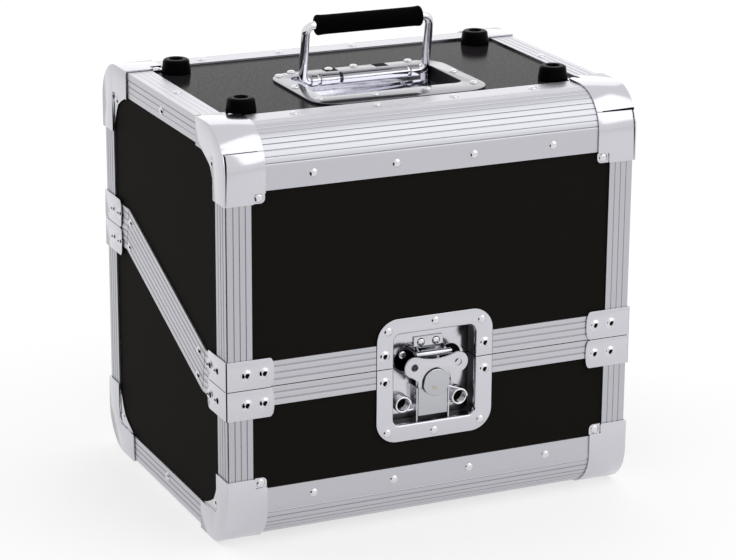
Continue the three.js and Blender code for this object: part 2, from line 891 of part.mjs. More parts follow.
// The lower dish also carries the springs, the disc's bearing boss and the guides of the hook
function lowerLatchDish() {
  const dish = latchDish(false);
  const boss = alongY(
    circle(0, -knobBelowSplit, bossRadius), latchDepth - bossHeight, latchDepth + weld, boreFacets);
  const bore = alongY(
    circle(0, -knobBelowSplit, knobNeckRadius + bossPlay), latchDepth - overrun, latchDepth, boreFacets);
  const inner = hookLowerHalfWidth + guideGap;
  const guides = [-1, 1].map((side) => {
    const places = [side * inner, side * (inner + latchSheet)].sort((a, b) => a - b);
    return box(places[0], guideFront, -latchMouthBottom - weld, places[1], latchDepth + weld, -guideTop);
  });
  const springs = [-1, 1].map((side) =>
    returnSpring().translate(side * springOffset, 0, -springBelowSplit));
  return join(cut(join(dish, boss), bore), ...guides, ...springs);
}

// Disc that turns the latch, its neck and the cross bore for the wing's pin
function latchKnob() {
  const end = latchDepth - fit;
  const profile = [
    [0, -knobFace],
    [knobRadius - knobRim, -knobFace + knobRim / 2],
    [knobRadius, -knobFace + knobRim * 2],
    [knobRadius, knobThickness - knobFace],
    [knobNeckRadius, knobThickness - knobFace],
    [knobNeckRadius, end],
    [0, end],
  ];
  const points = profile.map(([radius, depth]) => new THREE.Vector2(radius, depth));
  const turned = new THREE.LatheGeometry(points, knobFacets);
  const disc = volumeOf(closed(turned)) > 0 ? closed(turned) : flipFaces(closed(turned));
  const bore = roundBar(wingPivotDepth, 0, knobBoreRadius, -knobRadius, knobRadius, boreFacets);
  return cut(disc, bore);
}

// Butterfly wing that folds flat over the disc; its pin is the X axis through the origin
function wingShape() {
  const lobe = wingLobeRadius;
  const flare = lobe * wingFlareShare;
  const [foot, top] = [Math.PI * wingLobeFootShare, Math.PI * wingLobeTopShare];
  const legEnd = -wingLegDrop;
  const shape = new THREE.Shape();
  shape.moveTo(wingWaist, legEnd);
  shape.lineTo(wingWaist, wingLegDrop);
  shape.lineTo(wingLobeOffset + flare, wingLobeRise - lobe);
  shape.absarc(wingLobeOffset, wingLobeRise, lobe, -foot, top, false);
  shape.quadraticCurveTo(
    0, wingDip - flare, -wingLobeOffset - lobe * Math.cos(top), wingLobeRise + lobe * Math.sin(top));
  shape.absarc(-wingLobeOffset, wingLobeRise, lobe, Math.PI - top, Math.PI + foot, false);
  shape.lineTo(-wingWaist, wingLegDrop);
  shape.lineTo(-wingWaist, legEnd);
  const legInner = Math.sqrt(wingCutRadius ** 2 - legEnd ** 2);
  const start = Math.atan2(legEnd, -legInner);
  shape.lineTo(-legInner, legEnd);
  shape.absarc(0, 0, wingCutRadius, start, -Math.PI - start, true);
  for (const side of [-1, 1]) {
    shape.holes.push(circle(side * wingLobeOffset, wingLobeRise, wingHoleRadius));
  }
  return shape;
}

function latchWing() {
  const back = -wingBackGap - wingPivotDepth;
  const plate = alongY(wingShape(), back - wingSheet, back, wingArcSteps);
  const earEnd = wingEarReach;
  const ears = [-1, 1].map((side) => {
    const places = [side * wingWaist, side * (wingWaist - wingSheet)].sort((a, b) => a - b);
    return box(places[0], back - wingSheet / 2, -wingLegDrop, places[1], earEnd, wingLegDrop);
  });
  const pin = roundBar(0, 0, wingPinRadius, -wingWaist + weld, wingWaist - weld, boreFacets);
  return join(plate, ...ears, pin);
}

// Hook plate: drawn as a bent sheet in depth and height, then cut to its two widths
function latchHook() {
  const lowY = hookFrontDepth;
  const backY = hookBackDepth;
  const sheet = hookSheet;
  const bent = polygon([
    [lowY, -hookLowerEnd],
    [lowY + sheet, -hookLowerEnd],
    [lowY + sheet, -hookBendLow],
    [backY + sheet, -hookBendHigh],
    [backY + sheet, hookUpperEnd],
    [backY, hookUpperEnd],
    [backY, -hookBendHigh + sheet / 2],
    [lowY, -hookBendLow + sheet / 2],
  ]);
  const plate = alongX(bent, -hookLowerHalfWidth, hookLowerHalfWidth);
  const slotHalf = knobNeckRadius + bossPlay;
  const slotLow = -knobBelowSplit - slotHalf - hookTravel - fit;
  const slotHigh = -knobBelowSplit + slotHalf + fit;
  const slot = box(-slotHalf, -overrun, slotLow, slotHalf, overrun, slotHigh);
  const sides = [-1, 1].map((side) => {
    const places = [side * hookUpperHalfWidth, side * overrun].sort((a, b) => a - b);
    return box(places[0], -overrun, -hookBendLow - fit, places[1], overrun, overrun);
  });
  return cut(plate, slot, ...sides);
}

// Keeper: a plate on the floor of the upper dish with two arms that hold a round bar
function latchKeeper() {
  const back = latchDepth - fit;
  const front = back - keeperSheet;
  const plate = box(-keeperHalfWidth, front, keeperFoot, keeperHalfWidth, back, keeperTop);
  const barHalf = keeperHalfWidth + keeperBarOverhang;
  const bar = roundBar(keeperBarDepth, keeperBarRise, keeperBarRadius,
    -barHalf, barHalf, keeperBarFacets);
  const armShape = polygon([
    [keeperBarDepth, keeperBarRise - keeperBarRadius / 2],
    [front + weld, keeperFoot],
    [front + weld, keeperFoot + keeperBarRadius],
    [keeperBarDepth, keeperBarRise + keeperBarRadius / 2],
  ]);
  const arms = [-1, 1].map((side) => {
    const outer = keeperHalfWidth - weld;
    const places = [side * outer, side * (outer - keeperArmWidth)].sort((a, b) => a - b);
    return alongX(armShape, ...places);
  });
  return join(plate, bar, ...arms);
}

// Handle plate: the origin is the middle of the bail's axis, the outline lies in X and Y
const plateMiddle = -barrelFromMiddle;
const plateTop = barrelDrop - panelInset + fit + plateSheet;

function dishOutline(grow) {
  const half = dishHalfWidth + grow;
  const back = barrelOuterRadius + grow;
  const front = -dishFrontEdge - barrelPlace - grow;
  return roundedRectangle(
    plateMiddle - half, front, plateMiddle + half, back, dishCornerRadius + grow);
}

function handlePlate() {
  const front = -plateFrontEdge - barrelPlace;
  const back = front + plateDepth;
  const half = plateWidth / 2;
  const flangeShape = roundedRectangle(
    plateMiddle - half, front, plateMiddle + half, back, plateCornerRadius);
  flangeShape.holes.push(dishOutline(0));
  const wallShape = dishOutline(dishSheet);
  wallShape.holes.push(dishOutline(0));
  const floorLow = plateTop - dishDepth - dishSheet;
  const notches = [-notchPlaceLeft, notchPlaceRight].map((place) => {
    const left = plateMiddle + place - notchWidth / 2;
    return box(left, back - notchDepth, -overrun, left + notchWidth, back + overrun, overrun);
  });
  const barrel = roundBar(0, 0, barrelOuterRadius, -barrelHalfLength, barrelHalfLength, barrelFacets);
  const web = box(-barrelHalfLength, 0, -barrelOuterRadius, barrelHalfLength, barrelOuterRadius + weld, 0);
  const boreEnd = barrelHalfLength + weld;
  const bore = roundBar(0, 0, bailRodRadius + bailPlay, -boreEnd, boreEnd, barrelFacets);
  const slots = [-barrelSlotOuter, -barrelSlotInner, barrelSlotRight].map((place) => {
    const left = plateMiddle + place - barrelSlotWidth / 2;
    return box(left, -overrun, -barrelOuterRadius - weld, left + barrelSlotWidth, barrelOuterRadius, overrun);
  });
  const sleeve = cut(join(barrel, web), bore, ...slots);
  const plate = join(
    alongZ(flangeShape, plateTop - plateSheet, plateTop, dishCornerSteps),
    alongZ(wallShape, floorLow, plateTop - weld, dishCornerSteps),
    alongZ(dishOutline(dishSheet), floorLow, floorLow + dishSheet, dishCornerSteps),
  );
  return join(cut(plate, ...notches), sleeve);
}

// A path through given stops that puts one step of the extrusion at each of them
class StoppedPath extends THREE.Curve {
  constructor(stops) {
    super();
    this.stops = stops;
  }

  getPoint(t) {
    const last = this.stops.length - 1;
    const start = Math.min(Math.floor(t * last), last - 1);
    return this.stops[start].clone().lerp(this.stops[start + 1], t * last - start);
  }

  getPointAt(u) {
    return this.getPoint(u);
  }

  getTangentAt(u) {
    return this.getTangent(u);
  }
}

// Bail: a bent rod whose two ends turn into the barrel, drawn upright about the X axis
function bailStops() {
  const outer = bailHalfWidth - bailBend;
  const low = arcPoints([outer, bailBend], bailBend, -Math.PI / 2, 0, bailBendSteps);
  const high = arcPoints([outer, bailReach - bailBend], bailBend, 0, Math.PI / 2, bailBendSteps);
  const right = [[bailEndInset, 0], ...low, ...high];
  const left = right.map(([x, z]) => [-x, z]).reverse();
  return [...right, ...left].map(([x, z]) => new THREE.Vector3(x, 0, z));
}

function handleBail() {
  const stops = bailStops();
  return new THREE.ExtrudeGeometry(circle(0, 0, bailRodRadius), {
    steps: stops.length - 1,
    extrudePath: new StoppedPath(stops),
    curveSegments: bailSides / 2,
    bevelEnabled: false,
  });
}

// A solid of revolution whose profile closes on itself, with its faces outwards
function turned(profile, facets) {
  const points = profile.map(([radius, height]) => new THREE.Vector2(radius, height));
  const solid = closed(new THREE.LatheGeometry(points, facets));
  return volumeOf(solid) > 0 ? solid : flipFaces(solid);
}

function handleGrip() {
  const bore = bailRodRadius + fit;
  const round = gripEndRadius;
  const [end, edge] = [gripHalfLength, gripHalfLength - round];
  const grip = turned([
    [bore, -end],
    [gripRadius - round, -end],
    [gripRadius, -edge],
    [gripRadius, edge],
    [gripRadius - round, end],
    [bore, end],
    [bore, -end],
  ], gripFacets);
  return grip.rotateZ(-Math.PI / 2);
}

// A rubber foot with a round shoulder and a dished well for its screw
function lidFoot() {
  const shoulder = arcPoints(
    [footShoulderRadius - footRound, footHeight - footRound], footRound, 0, Math.PI / 2, footRoundSteps);
  const foot = turned([
    [0, 0],
    [footRadius, 0],
    [footRadius, footRound / 2],
    ...shoulder,
    [footDishRadius, footHeight],
    [footHoleRadius, footHeight - footHoleDepth],
    [0, footHeight - footHoleDepth],
  ], footFacets);
  return foot.rotateX(Math.PI / 2);
}

// The assembly: base, lid and the groups that turn on them
const carryingCase = new THREE.Group();
const shell = new THREE.Group();
shell.position.set(0, (frontReach - backReach) / 2, capProud);
carryingCase.add(shell);

const sides = [["left", -1], ["right", 1]];
const faces = [["front", -1], ["back", 1]];
const halves = [["base", -1], ["lid", 1]];

function splitHeight(faceSign) {
  return faceSign < 0 ? splitHeightFront : splitHeightBack;
}

function place(mesh, x, y, z) {
  mesh.position.set(x, y, z);
  shell.add(mesh);
}

// Panels
const bottomEdge = panelEdge;
const topEdge = caseHeight - panelEdge;
for (const [faceName, faceSign] of faces) {
  const split = splitHeight(faceSign);
  const isFront = faceSign < 0;
  const basePanel = wallPanel(bottomEdge, split - baseWebEnd - fit, isFront);
  const lidPanel = wallPanel(split + lidWebEnd + fit, topEdge, isFront);
  const shape = (panel) => (isFront ? cut(panel, latchCutOut()) : panel);
  shell.add(finished(`base_${faceName}_panel`, shape(basePanel), "laminate"));
  shell.add(finished(`lid_${faceName}_panel`, shape(lidPanel), "laminate"));
}
for (const [sideName, sideSign] of sides) {
  shell.add(finished(`base_${sideName}_panel`, sidePanel(false, sideSign), "laminate"));
  shell.add(finished(`lid_${sideName}_panel`, sidePanel(true, sideSign), "laminate"));
}
shell.add(finished("base_floor_panel", flatPanel(panelInset), "laminate"));
shell.add(finished("lid_top_panel", cut(flatPanel(caseHeight - panelBack), handleCutOut()), "laminate"));

// Edge profiles, upright posts, caps and brackets
const roundEdge = roundedEdge();
const post = (length) => alongZ(angleSection(), 0, length);
const sideEdge = alongY(angleSection(), roundLeg + fit, caseDepth - roundLeg - fit);
const capLeft = cornerCap(capSeamPlaceLeft);
const capRight = cornerCap(capSeamPlaceRight);
const bracket = cornerBracket();

for (const [halfName, halfSign] of halves) {
  const outerZ = halfSign < 0 ? 0 : caseHeight;
  const edgeName = halfSign < 0 ? "bottom" : "top";
  for (const [faceName, faceSign] of faces) {
    const profile = flipped(roundEdge, 1, -faceSign, -halfSign);
    const name = `${halfName}_${faceName}_${edgeName}_profile`;
    place(finished(name, profile, "aluminium"), 0, faceSign * halfDepth, outerZ);
  }
  for (const [sideName, sideSign] of sides) {
    const profile = flipped(sideEdge, -sideSign, 1, -halfSign);
    const name = `${halfName}_${sideName}_${edgeName}_profile`;
    place(finished(name, profile, "aluminium"), sideSign * halfWidth, -halfDepth, outerZ);
  }
  for (const [faceName, faceSign] of faces) {
    for (const [sideName, sideSign] of sides) {
      const corner = `${halfName}_${faceName}_${sideName}`;
      const split = splitHeight(faceSign);
      const rimEdge = halfSign < 0 ? split - baseRimHeight : caseHeight - split - lidRimHeight;
      const start = roundLeg + fit;
      const upright = flipped(post(rimEdge - fit - start), -sideSign, -faceSign, -halfSign);
      const x = sideSign * halfWidth;
      const y = faceSign * halfDepth;
      place(finished(`${corner}_post`, upright, "aluminium"), x, y, outerZ - halfSign * start);
      const drawn = sideSign < 0 ? capLeft : capRight;
      const seamed = halfSign < 0 ? swapYZ(drawn) : drawn;
      const capped = flipped(seamed, -sideSign, -faceSign, -halfSign);
      place(finished(`${corner}_corner_cap`, capped, "chrome"), x, y, outerZ);
      const folded = flipped(bracket, -sideSign, -faceSign, halfSign);
      place(finished(`${corner}_bracket`, folded, "chrome"), x, y, split);
    }
  }
}
shell.add(finished("base_closing_rim", rim(baseRimSection()), "aluminium"));
shell.add(finished("lid_closing_rim", rim(lidRimSection()), "aluminium"));

// Back hinge
const hinge = new THREE.Group();
hinge.position.set(0, hingeAxisY, splitHeightBack);
hinge.add(finished("hinge_base_leaf", hingeLeaf(0, -1), "zinc"));
hinge.add(finished("hinge_lid_leaf", hingeLeaf(1, 1), "zinc"));
const pinHalf = hingeLength / 2 - hingeKnuckleGap;
hinge.add(finished("hinge_pin", roundBar(0, 0, hingePinRadius, -pinHalf, pinHalf, hingeFacets), "zinc"));
shell.add(hinge);

// Latch
const latch = new THREE.Group();
latch.position.set(latchFromMiddle, -latchFace, splitHeightFront);
latch.add(finished("latch_upper_dish", latchDish(true), "chrome"));
latch.add(finished("latch_lower_dish", lowerLatchDish(), "chrome"));
latch.add(finished("latch_keeper", latchKeeper(), "zinc"));
latch.add(finished("latch_hook", latchHook(), "zinc"));
const knob = new THREE.Group();
knob.position.set(0, 0, -knobBelowSplit);
knob.add(finished("latch_knob", latchKnob(), "zinc"));
const wing = finished("latch_wing", latchWing(), "zinc");
wing.position.set(0, wingPivotDepth, 0);
knob.add(wing);
latch.add(knob);
shell.add(latch);

// Handle
const handle = new THREE.Group();
handle.position.set(barrelFromMiddle, barrelPlace, caseHeight - barrelDrop);
handle.add(finished("handle_plate", handlePlate(), "chrome"));
const swing = new THREE.Group();
swing.rotation.x = bailLean;
swing.add(finished("handle_bail", handleBail(), "chrome"));
const grip = finished("handle_grip", handleGrip(), "rubber");
grip.position.set(0, 0, bailReach);
swing.add(grip);
handle.add(swing);
shell.add(handle);

// Feet on the lid
for (const [faceName, faceSign] of faces) {
  for (const [sideName, sideSign] of sides) {
    const foot = finished(`lid_${faceName}_${sideName}_foot`, lidFoot(), "rubber");
    const [x, y] = [halfWidth - footFromSide, halfDepth - footFromFace];
    place(foot, sideSign * x, faceSign * y, caseHeight - panelInset + fit);
  }
}

export default carryingCase;
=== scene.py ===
# %% [markdown]
# # A record carrying case, dressed in Blender
#
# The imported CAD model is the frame. Every piece below sits where the CAD says and rides on one
# of its bodies, so the lid, the latch and the handle can still move. Blender adds what the eye
# needs: finer curves, softened edges, rivets, springs, surface finish, light and the
# photograph's point of view. All lengths are in metres, and MM turns millimetres into them.

# %% Load the frame
import json
import math
from contextlib import contextmanager
from functools import partial

import bmesh
import bpy
from mathutils import Matrix, Vector

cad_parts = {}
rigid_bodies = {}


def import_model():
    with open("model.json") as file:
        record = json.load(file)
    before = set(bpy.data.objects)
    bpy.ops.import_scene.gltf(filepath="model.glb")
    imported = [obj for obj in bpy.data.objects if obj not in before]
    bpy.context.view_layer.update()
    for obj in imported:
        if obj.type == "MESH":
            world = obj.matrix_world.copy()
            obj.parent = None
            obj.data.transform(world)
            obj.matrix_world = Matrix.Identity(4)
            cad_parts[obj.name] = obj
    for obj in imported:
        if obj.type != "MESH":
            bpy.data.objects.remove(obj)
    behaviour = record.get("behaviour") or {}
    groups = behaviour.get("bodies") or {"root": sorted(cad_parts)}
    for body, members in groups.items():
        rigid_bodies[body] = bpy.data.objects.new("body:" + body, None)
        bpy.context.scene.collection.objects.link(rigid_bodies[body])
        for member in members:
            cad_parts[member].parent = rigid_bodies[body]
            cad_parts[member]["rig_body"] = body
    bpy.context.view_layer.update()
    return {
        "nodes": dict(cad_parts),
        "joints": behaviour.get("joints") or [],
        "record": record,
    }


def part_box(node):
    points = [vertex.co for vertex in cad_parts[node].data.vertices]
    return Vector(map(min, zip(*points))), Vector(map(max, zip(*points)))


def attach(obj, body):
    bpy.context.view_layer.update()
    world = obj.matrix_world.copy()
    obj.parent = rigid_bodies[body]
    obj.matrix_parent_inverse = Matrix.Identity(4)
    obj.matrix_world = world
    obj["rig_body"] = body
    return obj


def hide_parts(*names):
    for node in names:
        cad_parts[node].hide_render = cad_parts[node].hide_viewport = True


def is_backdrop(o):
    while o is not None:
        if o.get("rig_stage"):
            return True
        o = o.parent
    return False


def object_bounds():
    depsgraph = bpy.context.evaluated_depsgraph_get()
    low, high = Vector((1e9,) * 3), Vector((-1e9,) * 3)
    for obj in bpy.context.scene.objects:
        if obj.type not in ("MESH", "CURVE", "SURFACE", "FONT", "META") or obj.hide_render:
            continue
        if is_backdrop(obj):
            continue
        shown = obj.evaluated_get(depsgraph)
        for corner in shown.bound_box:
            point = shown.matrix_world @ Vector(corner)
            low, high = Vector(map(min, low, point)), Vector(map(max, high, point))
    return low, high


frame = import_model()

MM = 0.001
scene = bpy.context.scene
nodes = frame["nodes"]

# %% [markdown]
# ## Reference planes
#
# A case maker measures from the outside faces of the aluminium. The closing rim touches all
# four side faces and the rounded profiles touch top and bottom, so their boxes give these
# planes, and no size of the model has to be written down twice.

# %% Reference planes
rim_low, rim_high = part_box("base_closing_rim")
SIDE = rim_high.x
FRONT, BACK = rim_low.y, rim_high.y
MIDDLE_Y = (FRONT + BACK) / 2
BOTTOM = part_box("base_front_bottom_profile")[0].z
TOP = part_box("lid_front_top_profile")[1].z
HALF_GAP = 0.3 * MM
SPLIT_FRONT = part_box("lid_front_left_bracket")[0].z - HALF_GAP
SPLIT_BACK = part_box("lid_back_left_bracket")[0].z - HALF_GAP
SHEET_FACE = 1.5 * MM
SKIN = 1.5 * MM
TO_FRONT, TO_BACK = Vector((0, -1, 0)), Vector((0, 1, 0))
TO_LEFT, TO_RIGHT = Vector((-1, 0, 0)), Vector((1, 0, 0))
TO_TOP, TO_FLOOR = Vector((0, 0, 1)), Vector((0, 0, -1))
print("split at", round(SPLIT_FRONT / MM, 2), "and", round(SPLIT_BACK / MM, 2), "mm")

# %% [markdown]
# ## The photograph's camera
#
# Straight edges of the case were measured in the photograph, and one camera was worked out that
# puts the model's edges on them. It stands 2.4 m away, 24.5 degrees to the left and 17.6
# degrees up, with a long lens, which is why the upright edges hardly converge.

# %% Camera
IMAGE_WIDTH = 736
FOCAL_PIXELS = 2774.7
AZIMUTH, ELEVATION, ROLL = (math.radians(v) for v in (-24.528, 17.623, 0.311))
DISTANCE = 2417.6 * MM
AIM_RIGHT, AIM_UP = 4.52 * MM, -7.56 * MM

to_camera = Vector((
    math.sin(AZIMUTH) * math.cos(ELEVATION),
    -math.cos(AZIMUTH) * math.cos(ELEVATION),
    math.sin(ELEVATION),
))
level = Vector((math.cos(AZIMUTH), math.sin(AZIMUTH), 0))
upright = to_camera.cross(level)
aim = Vector((0, MIDDLE_Y, (BOTTOM + TOP) / 2)) + level * AIM_RIGHT + upright * AIM_UP
camera = bpy.data.objects.new("photograph_camera", bpy.data.cameras.new("photograph_camera"))
scene.collection.objects.link(camera)
camera.data.sensor_width = 36
camera.data.lens = FOCAL_PIXELS * camera.data.sensor_width / IMAGE_WIDTH
camera.data.clip_end = 100
rolled = Matrix.Rotation(ROLL, 3, to_camera)
turn = Matrix((rolled @ level, rolled @ upright, to_camera)).transposed().to_4x4()
camera.matrix_world = Matrix.Translation(aim + to_camera * DISTANCE) @ turn
scene.camera = camera
print("lens", round(camera.data.lens, 1), "mm")

# %% [markdown]
# ## Colours and shader nodes
#
# Colours are written as sRGB hex values, as a painter would pick them, and one function turns
# them into the linear numbers that a shader computes with. One small function adds a node with
# its settings and links, so that each material below reads as a short recipe.

# %% Colour and node helpers
def linear(hex_colour):
    values = [int(hex_colour[i:i + 2], 16) / 255 for i in (1, 3, 5)]
    steps = [v / 12.92 if v <= 0.04045 else ((v + 0.055) / 1.055) ** 2.4 for v in values]
    return (*steps, 1.0)


def add(tree, kind, inputs=None, **settings):
    """A node of this kind. inputs maps a socket's name or number to a value, to a socket, or
    to a node, which then stands for its first output."""
    node = tree.nodes.new(kind)
    for key, value in settings.items():
        setattr(node, key, value)
    for key, value in (inputs or {}).items():
        if isinstance(value, bpy.types.Node):
            value = value.outputs[0]
        if isinstance(value, bpy.types.NodeSocket):
            tree.links.new(value, node.inputs[key])
        else:
            node.inputs[key].default_value = value
    return node


def new_material(name, **surface):
    """A material with one Principled shader, returned with its tree and that shader."""
    material = bpy.data.materials.new(name)
    material.use_nodes = True
    shader = material.node_tree.nodes["Principled BSDF"]
    for key, value in surface.items():
        shader.inputs[key.replace("_", " ")].default_value = value
    return material, material.node_tree, shader


def relief(tree, shader, per_metre, strength, depth, detail=2.0):
    """Bump from a noise whose frequency along each axis is given per metre of the object."""
    place = add(tree, "ShaderNodeTexCoord").outputs["Object"]
    scaled = add(tree, "ShaderNodeMapping", {"Vector": place, "Scale": per_metre})
    noise = add(tree, "ShaderNodeTexNoise", {"Vector": scaled, "Scale": 1.0, "Detail": detail})
    bump = add(tree, "ShaderNodeBump", {"Strength": strength, "Distance": depth, "Height": noise})
    tree.links.new(bump.outputs[0], shader.inputs["Normal"])
    return noise


print("helpers ready")

# %% [markdown]
# ## Aluminium
#
# The edge profiles are extruded aluminium with a satin anodised skin. The die leaves fine lines
# along the run. They are too fine to see one by one, so the noise is drawn coarser than the
# real ones, just enough to stretch reflections across the run. Each run direction gets its own
# copy of the material, because the lines follow the object's axes.

# %% Aluminium
LINES_PER_METRE = 900
ALONG_PER_METRE = 5


def extruded_aluminium(axis, colour):
    material, tree, shader = new_material(
        f"satin_anodised_aluminium_run_{axis}",
        Metallic=1.0, Roughness=0.34, Base_Color=linear(colour))
    frequencies = [LINES_PER_METRE] * 3
    frequencies["xyz".index(axis)] = ALONG_PER_METRE
    relief(tree, shader, frequencies, 0.10, 0.1 * MM)
    return material


# The copies differ a little in colour as painted light and shade: the upright runs are darkest
RUN_LIT_AND_SHADED_COLOURS = {"x": "#c0c0c6", "y": "#c2c2c8", "z": "#b9b9bf"}
aluminium = {axis: extruded_aluminium(axis, colour) for axis, colour in RUN_LIT_AND_SHADED_COLOURS.items()}
# Dust and painted shade darken the bottom of a groove, so that it reads as a thin grey line
groove_dust_and_shade = new_material(
    "dust_and_painted_shade_in_groove", Metallic=1.0, Roughness=0.5, Base_Color=linear("#8e8e93"))[0]
print("aluminium for runs along", ", ".join(aluminium))

# %% [markdown]
# ## Plated steel
#
# Caps, brackets, latch dishes and the handle plate are pressed steel with nickel-chrome plate.
# The press leaves them softly wavy, which bends reflections a little. The rod of the handle is
# polished and sharp. The latch works are zinc plated: the same steel, greyer and less sharp.

# %% Plated steel
def plated_steel(name, colour, roughness, waves_per_metre, wave_depth):
    material, tree, shader = new_material(
        name, Metallic=1.0, Roughness=roughness, Base_Color=linear(colour))
    relief(tree, shader, [waves_per_metre] * 3, 0.25, wave_depth, 1.0)
    return material


# Caps, brackets and dishes: light, soft reflections of the studio
bright_plate = plated_steel("nickel_chrome_plate_on_pressed_steel", "#cacad0", 0.16, 28, 0.2 * MM)
# The flat of the handle's plate: the same chrome as its dish, painted darker as shade
handle_chrome_shaded = plated_steel("chrome_darkened_as_shade_on_handle_plate", "#808086", 0.13, 30, 0.25 * MM)
# The dish below the grip: the same chrome, painted brightest as light
dish_chrome_lit = plated_steel("chrome_brightened_as_light_in_handle_dish", "#dcdce2", 0.1, 30, 0.25 * MM)
# Latch works and hinge: greyer and less sharp than chrome
zinc_plate = plated_steel("bright_zinc_plate", "#b8b9be", 0.2, 60, 0.2 * MM)
# Walls of the tubs: almost black as painted shade, so that the recesses look deep
shade_dark_steel = plated_steel("painted_shade_dark_steel", "#0e0e10", 0.4, 60, 0.2 * MM)
# Bail and spring wire: a sharp mirror
chrome_rod = plated_steel("polished_chrome_rod", "#dcdce0", 0.05, 20, 0.1 * MM)
# Rivet heads: a small sharp image of the whole studio
rivet_steel = plated_steel("bright_rivet_steel", "#d6d6da", 0.08, 300, 0.05 * MM)
# Screws in the feet and the mark on the disc: warmer and duller
warm_steel = plated_steel("warm_grey_rivet_steel", "#b4afa8", 0.3, 300, 0.05 * MM)
print("plated finishes: 8")

# %% [markdown]
# ## Laminate, rubber and foam
#
# The panels are plywood faced with black phenolic laminate. Its fine pebble grain shows as
# faint specks. The walls stay almost black from every side, so their sheen is kept very low.
# The top is seen at a shallow angle, turns mid grey and mirrors the feet, so its sheet is a
# little glossier. Rubber and foam are blacker still, and the foam hardly reflects at all.

# %% Dark finishes
def dark_finish(name, colour, roughness, sheen, *grain):
    """A dark material. grain, where it has one, is bumps per metre, strength, depth, detail."""
    material, tree, shader = new_material(
        name, Roughness=roughness, Base_Color=linear(colour), Specular_IOR_Level=sheen)
    if grain:
        relief(tree, shader, [grain[0]] * 3, *grain[1:])
    return material


# Walls: almost black from every side
laminate = dark_finish("black_phenolic_laminate_matt", "#211f1c", 0.45, 0.004, 700, 0.06, 0.08 * MM)
# Feet: black, with a faint shine on their shoulders
rubber = dark_finish("moulded_black_rubber", "#020202", 0.35, 0.03)
# Grip and lining: black and charcoal without shine, and a coarser grain
foam_grip = dark_finish("black_nitrile_foam", "#030303", 0.85, 0.03, 500, 0.5, 0.4 * MM, 3.0)
lining = dark_finish("charcoal_foam_lining", "#2a2a2e", 0.95, 0.1, 400, 0.5, 0.4 * MM, 3.0)
# Gaps and holes: no light comes back, so they are painted black as shade
shade_black = dark_finish("painted_shade_black", "#030303", 0.8, 0.1)

# The top: its grain also varies the sheen, which gives the specks of the satin sheet
top_laminate, tree, shader = new_material(
    "black_phenolic_laminate_satin", Roughness=0.15, Base_Color=linear("#1e1c1e"))
grain = relief(tree, shader, [420] * 3, 0.3, 0.08 * MM)
sheen = add(tree, "ShaderNodeMapRange", {
    "Value": grain, "From Min": 0.3, "From Max": 0.7, "To Min": 0.009, "To Max": 0.022})
tree.links.new(sheen.outputs[0], shader.inputs["Specular IOR Level"])
print("dark finishes ready")

# %% [markdown]
# ## Paint the CAD nodes
#
# Where a CAD shape is right as it is, its node only gets a material, and its mesh stays as the
# packer wrote it. Flat laminate panels are such pieces. The record names a slot for every
# node, so one loop paints them all, and the finer pieces below then take the place of some.

# %% Materials on CAD nodes
slot_of = {entry["node"]: entry["material_slot"] for entry in frame["record"]["subparts"]}
slot_finish = {
    "laminate": laminate,
    "aluminium": aluminium["x"],
    "chrome": bright_plate,
    "zinc": zinc_plate,
    "rubber": rubber,
}
for name, node in nodes.items():
    node.data.materials.clear()
    is_top = name == "lid_top_panel"
    node.data.materials.append(top_laminate if is_top else slot_finish[slot_of[name]])
print("painted", len(nodes), "nodes")

# %% [markdown]
# ## From a source object to a finished piece
#
# Most pieces below start as a small object with modifiers. Blender evaluates them, the result
# is kept as a plain mesh, and the modifiers go. The mesh already holds its place in the frame,
# so the finished object sits at the origin, unturned. Faces are smooth, but edges sharper than
# the smooth angle stay crisp.

# %% Helpers for pieces
SMOOTH_ANGLE = math.radians(32)
MERGE_DISTANCE = 0.004 * MM


def object_from(name, mesh):
    piece = bpy.data.objects.new(name, mesh)
    scene.collection.objects.link(piece)
    return piece


def smoothed(piece, angle=SMOOTH_ANGLE):
    piece.data.shade_smooth()
    piece.data.set_sharp_from_angle(angle=angle)
    return piece


def baked(source, name):
    """A plain object from an evaluated one, whose source is then deleted."""
    graph = bpy.context.evaluated_depsgraph_get()
    mesh = bpy.data.meshes.new_from_object(source.evaluated_get(graph), depsgraph=graph)
    bpy.data.objects.remove(source)
    mesh.name = name
    return object_from(name, mesh)


def finish_piece(piece, body, slot, *stands_for):
    """The piece rides on a body and may stand for CAD nodes. The slot is not used."""
    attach(piece, body)
    if stands_for:
        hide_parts(*stands_for)
    return piece


@contextmanager
def editing(mesh):
    """A mesh opened for edits, which are written back at the end."""
    work = bmesh.new()
    work.from_mesh(mesh)
    yield work
    work.to_mesh(mesh)
    work.free()


def merge_doubles(work):
    bmesh.ops.remove_doubles(work, verts=work.verts, dist=MERGE_DISTANCE)


def outward(piece, matrix=None):
    """Moves the mesh itself, merges its doubles and turns its faces outwards."""
    with editing(piece.data) as work:
        if matrix is not None:
            bmesh.ops.transform(work, matrix=matrix, verts=work.verts)
        merge_doubles(work)
        bmesh.ops.recalc_face_normals(work, faces=work.faces)
    return piece


print("piece helpers ready")

# %% [markdown]
# ## Geometry Nodes from a script
#
# A tree is built once, with named inputs, and used for many pieces. The inputs are set through
# the sockets' identifiers before Blender first evaluates the object. Every tree sets its
# materials and makes its instances real, because only plain meshes are exported.

# %% Helpers for trees
LENGTH = "NodeSocketFloat"
COUNT = "NodeSocketInt"
FINISH = "NodeSocketMaterial"


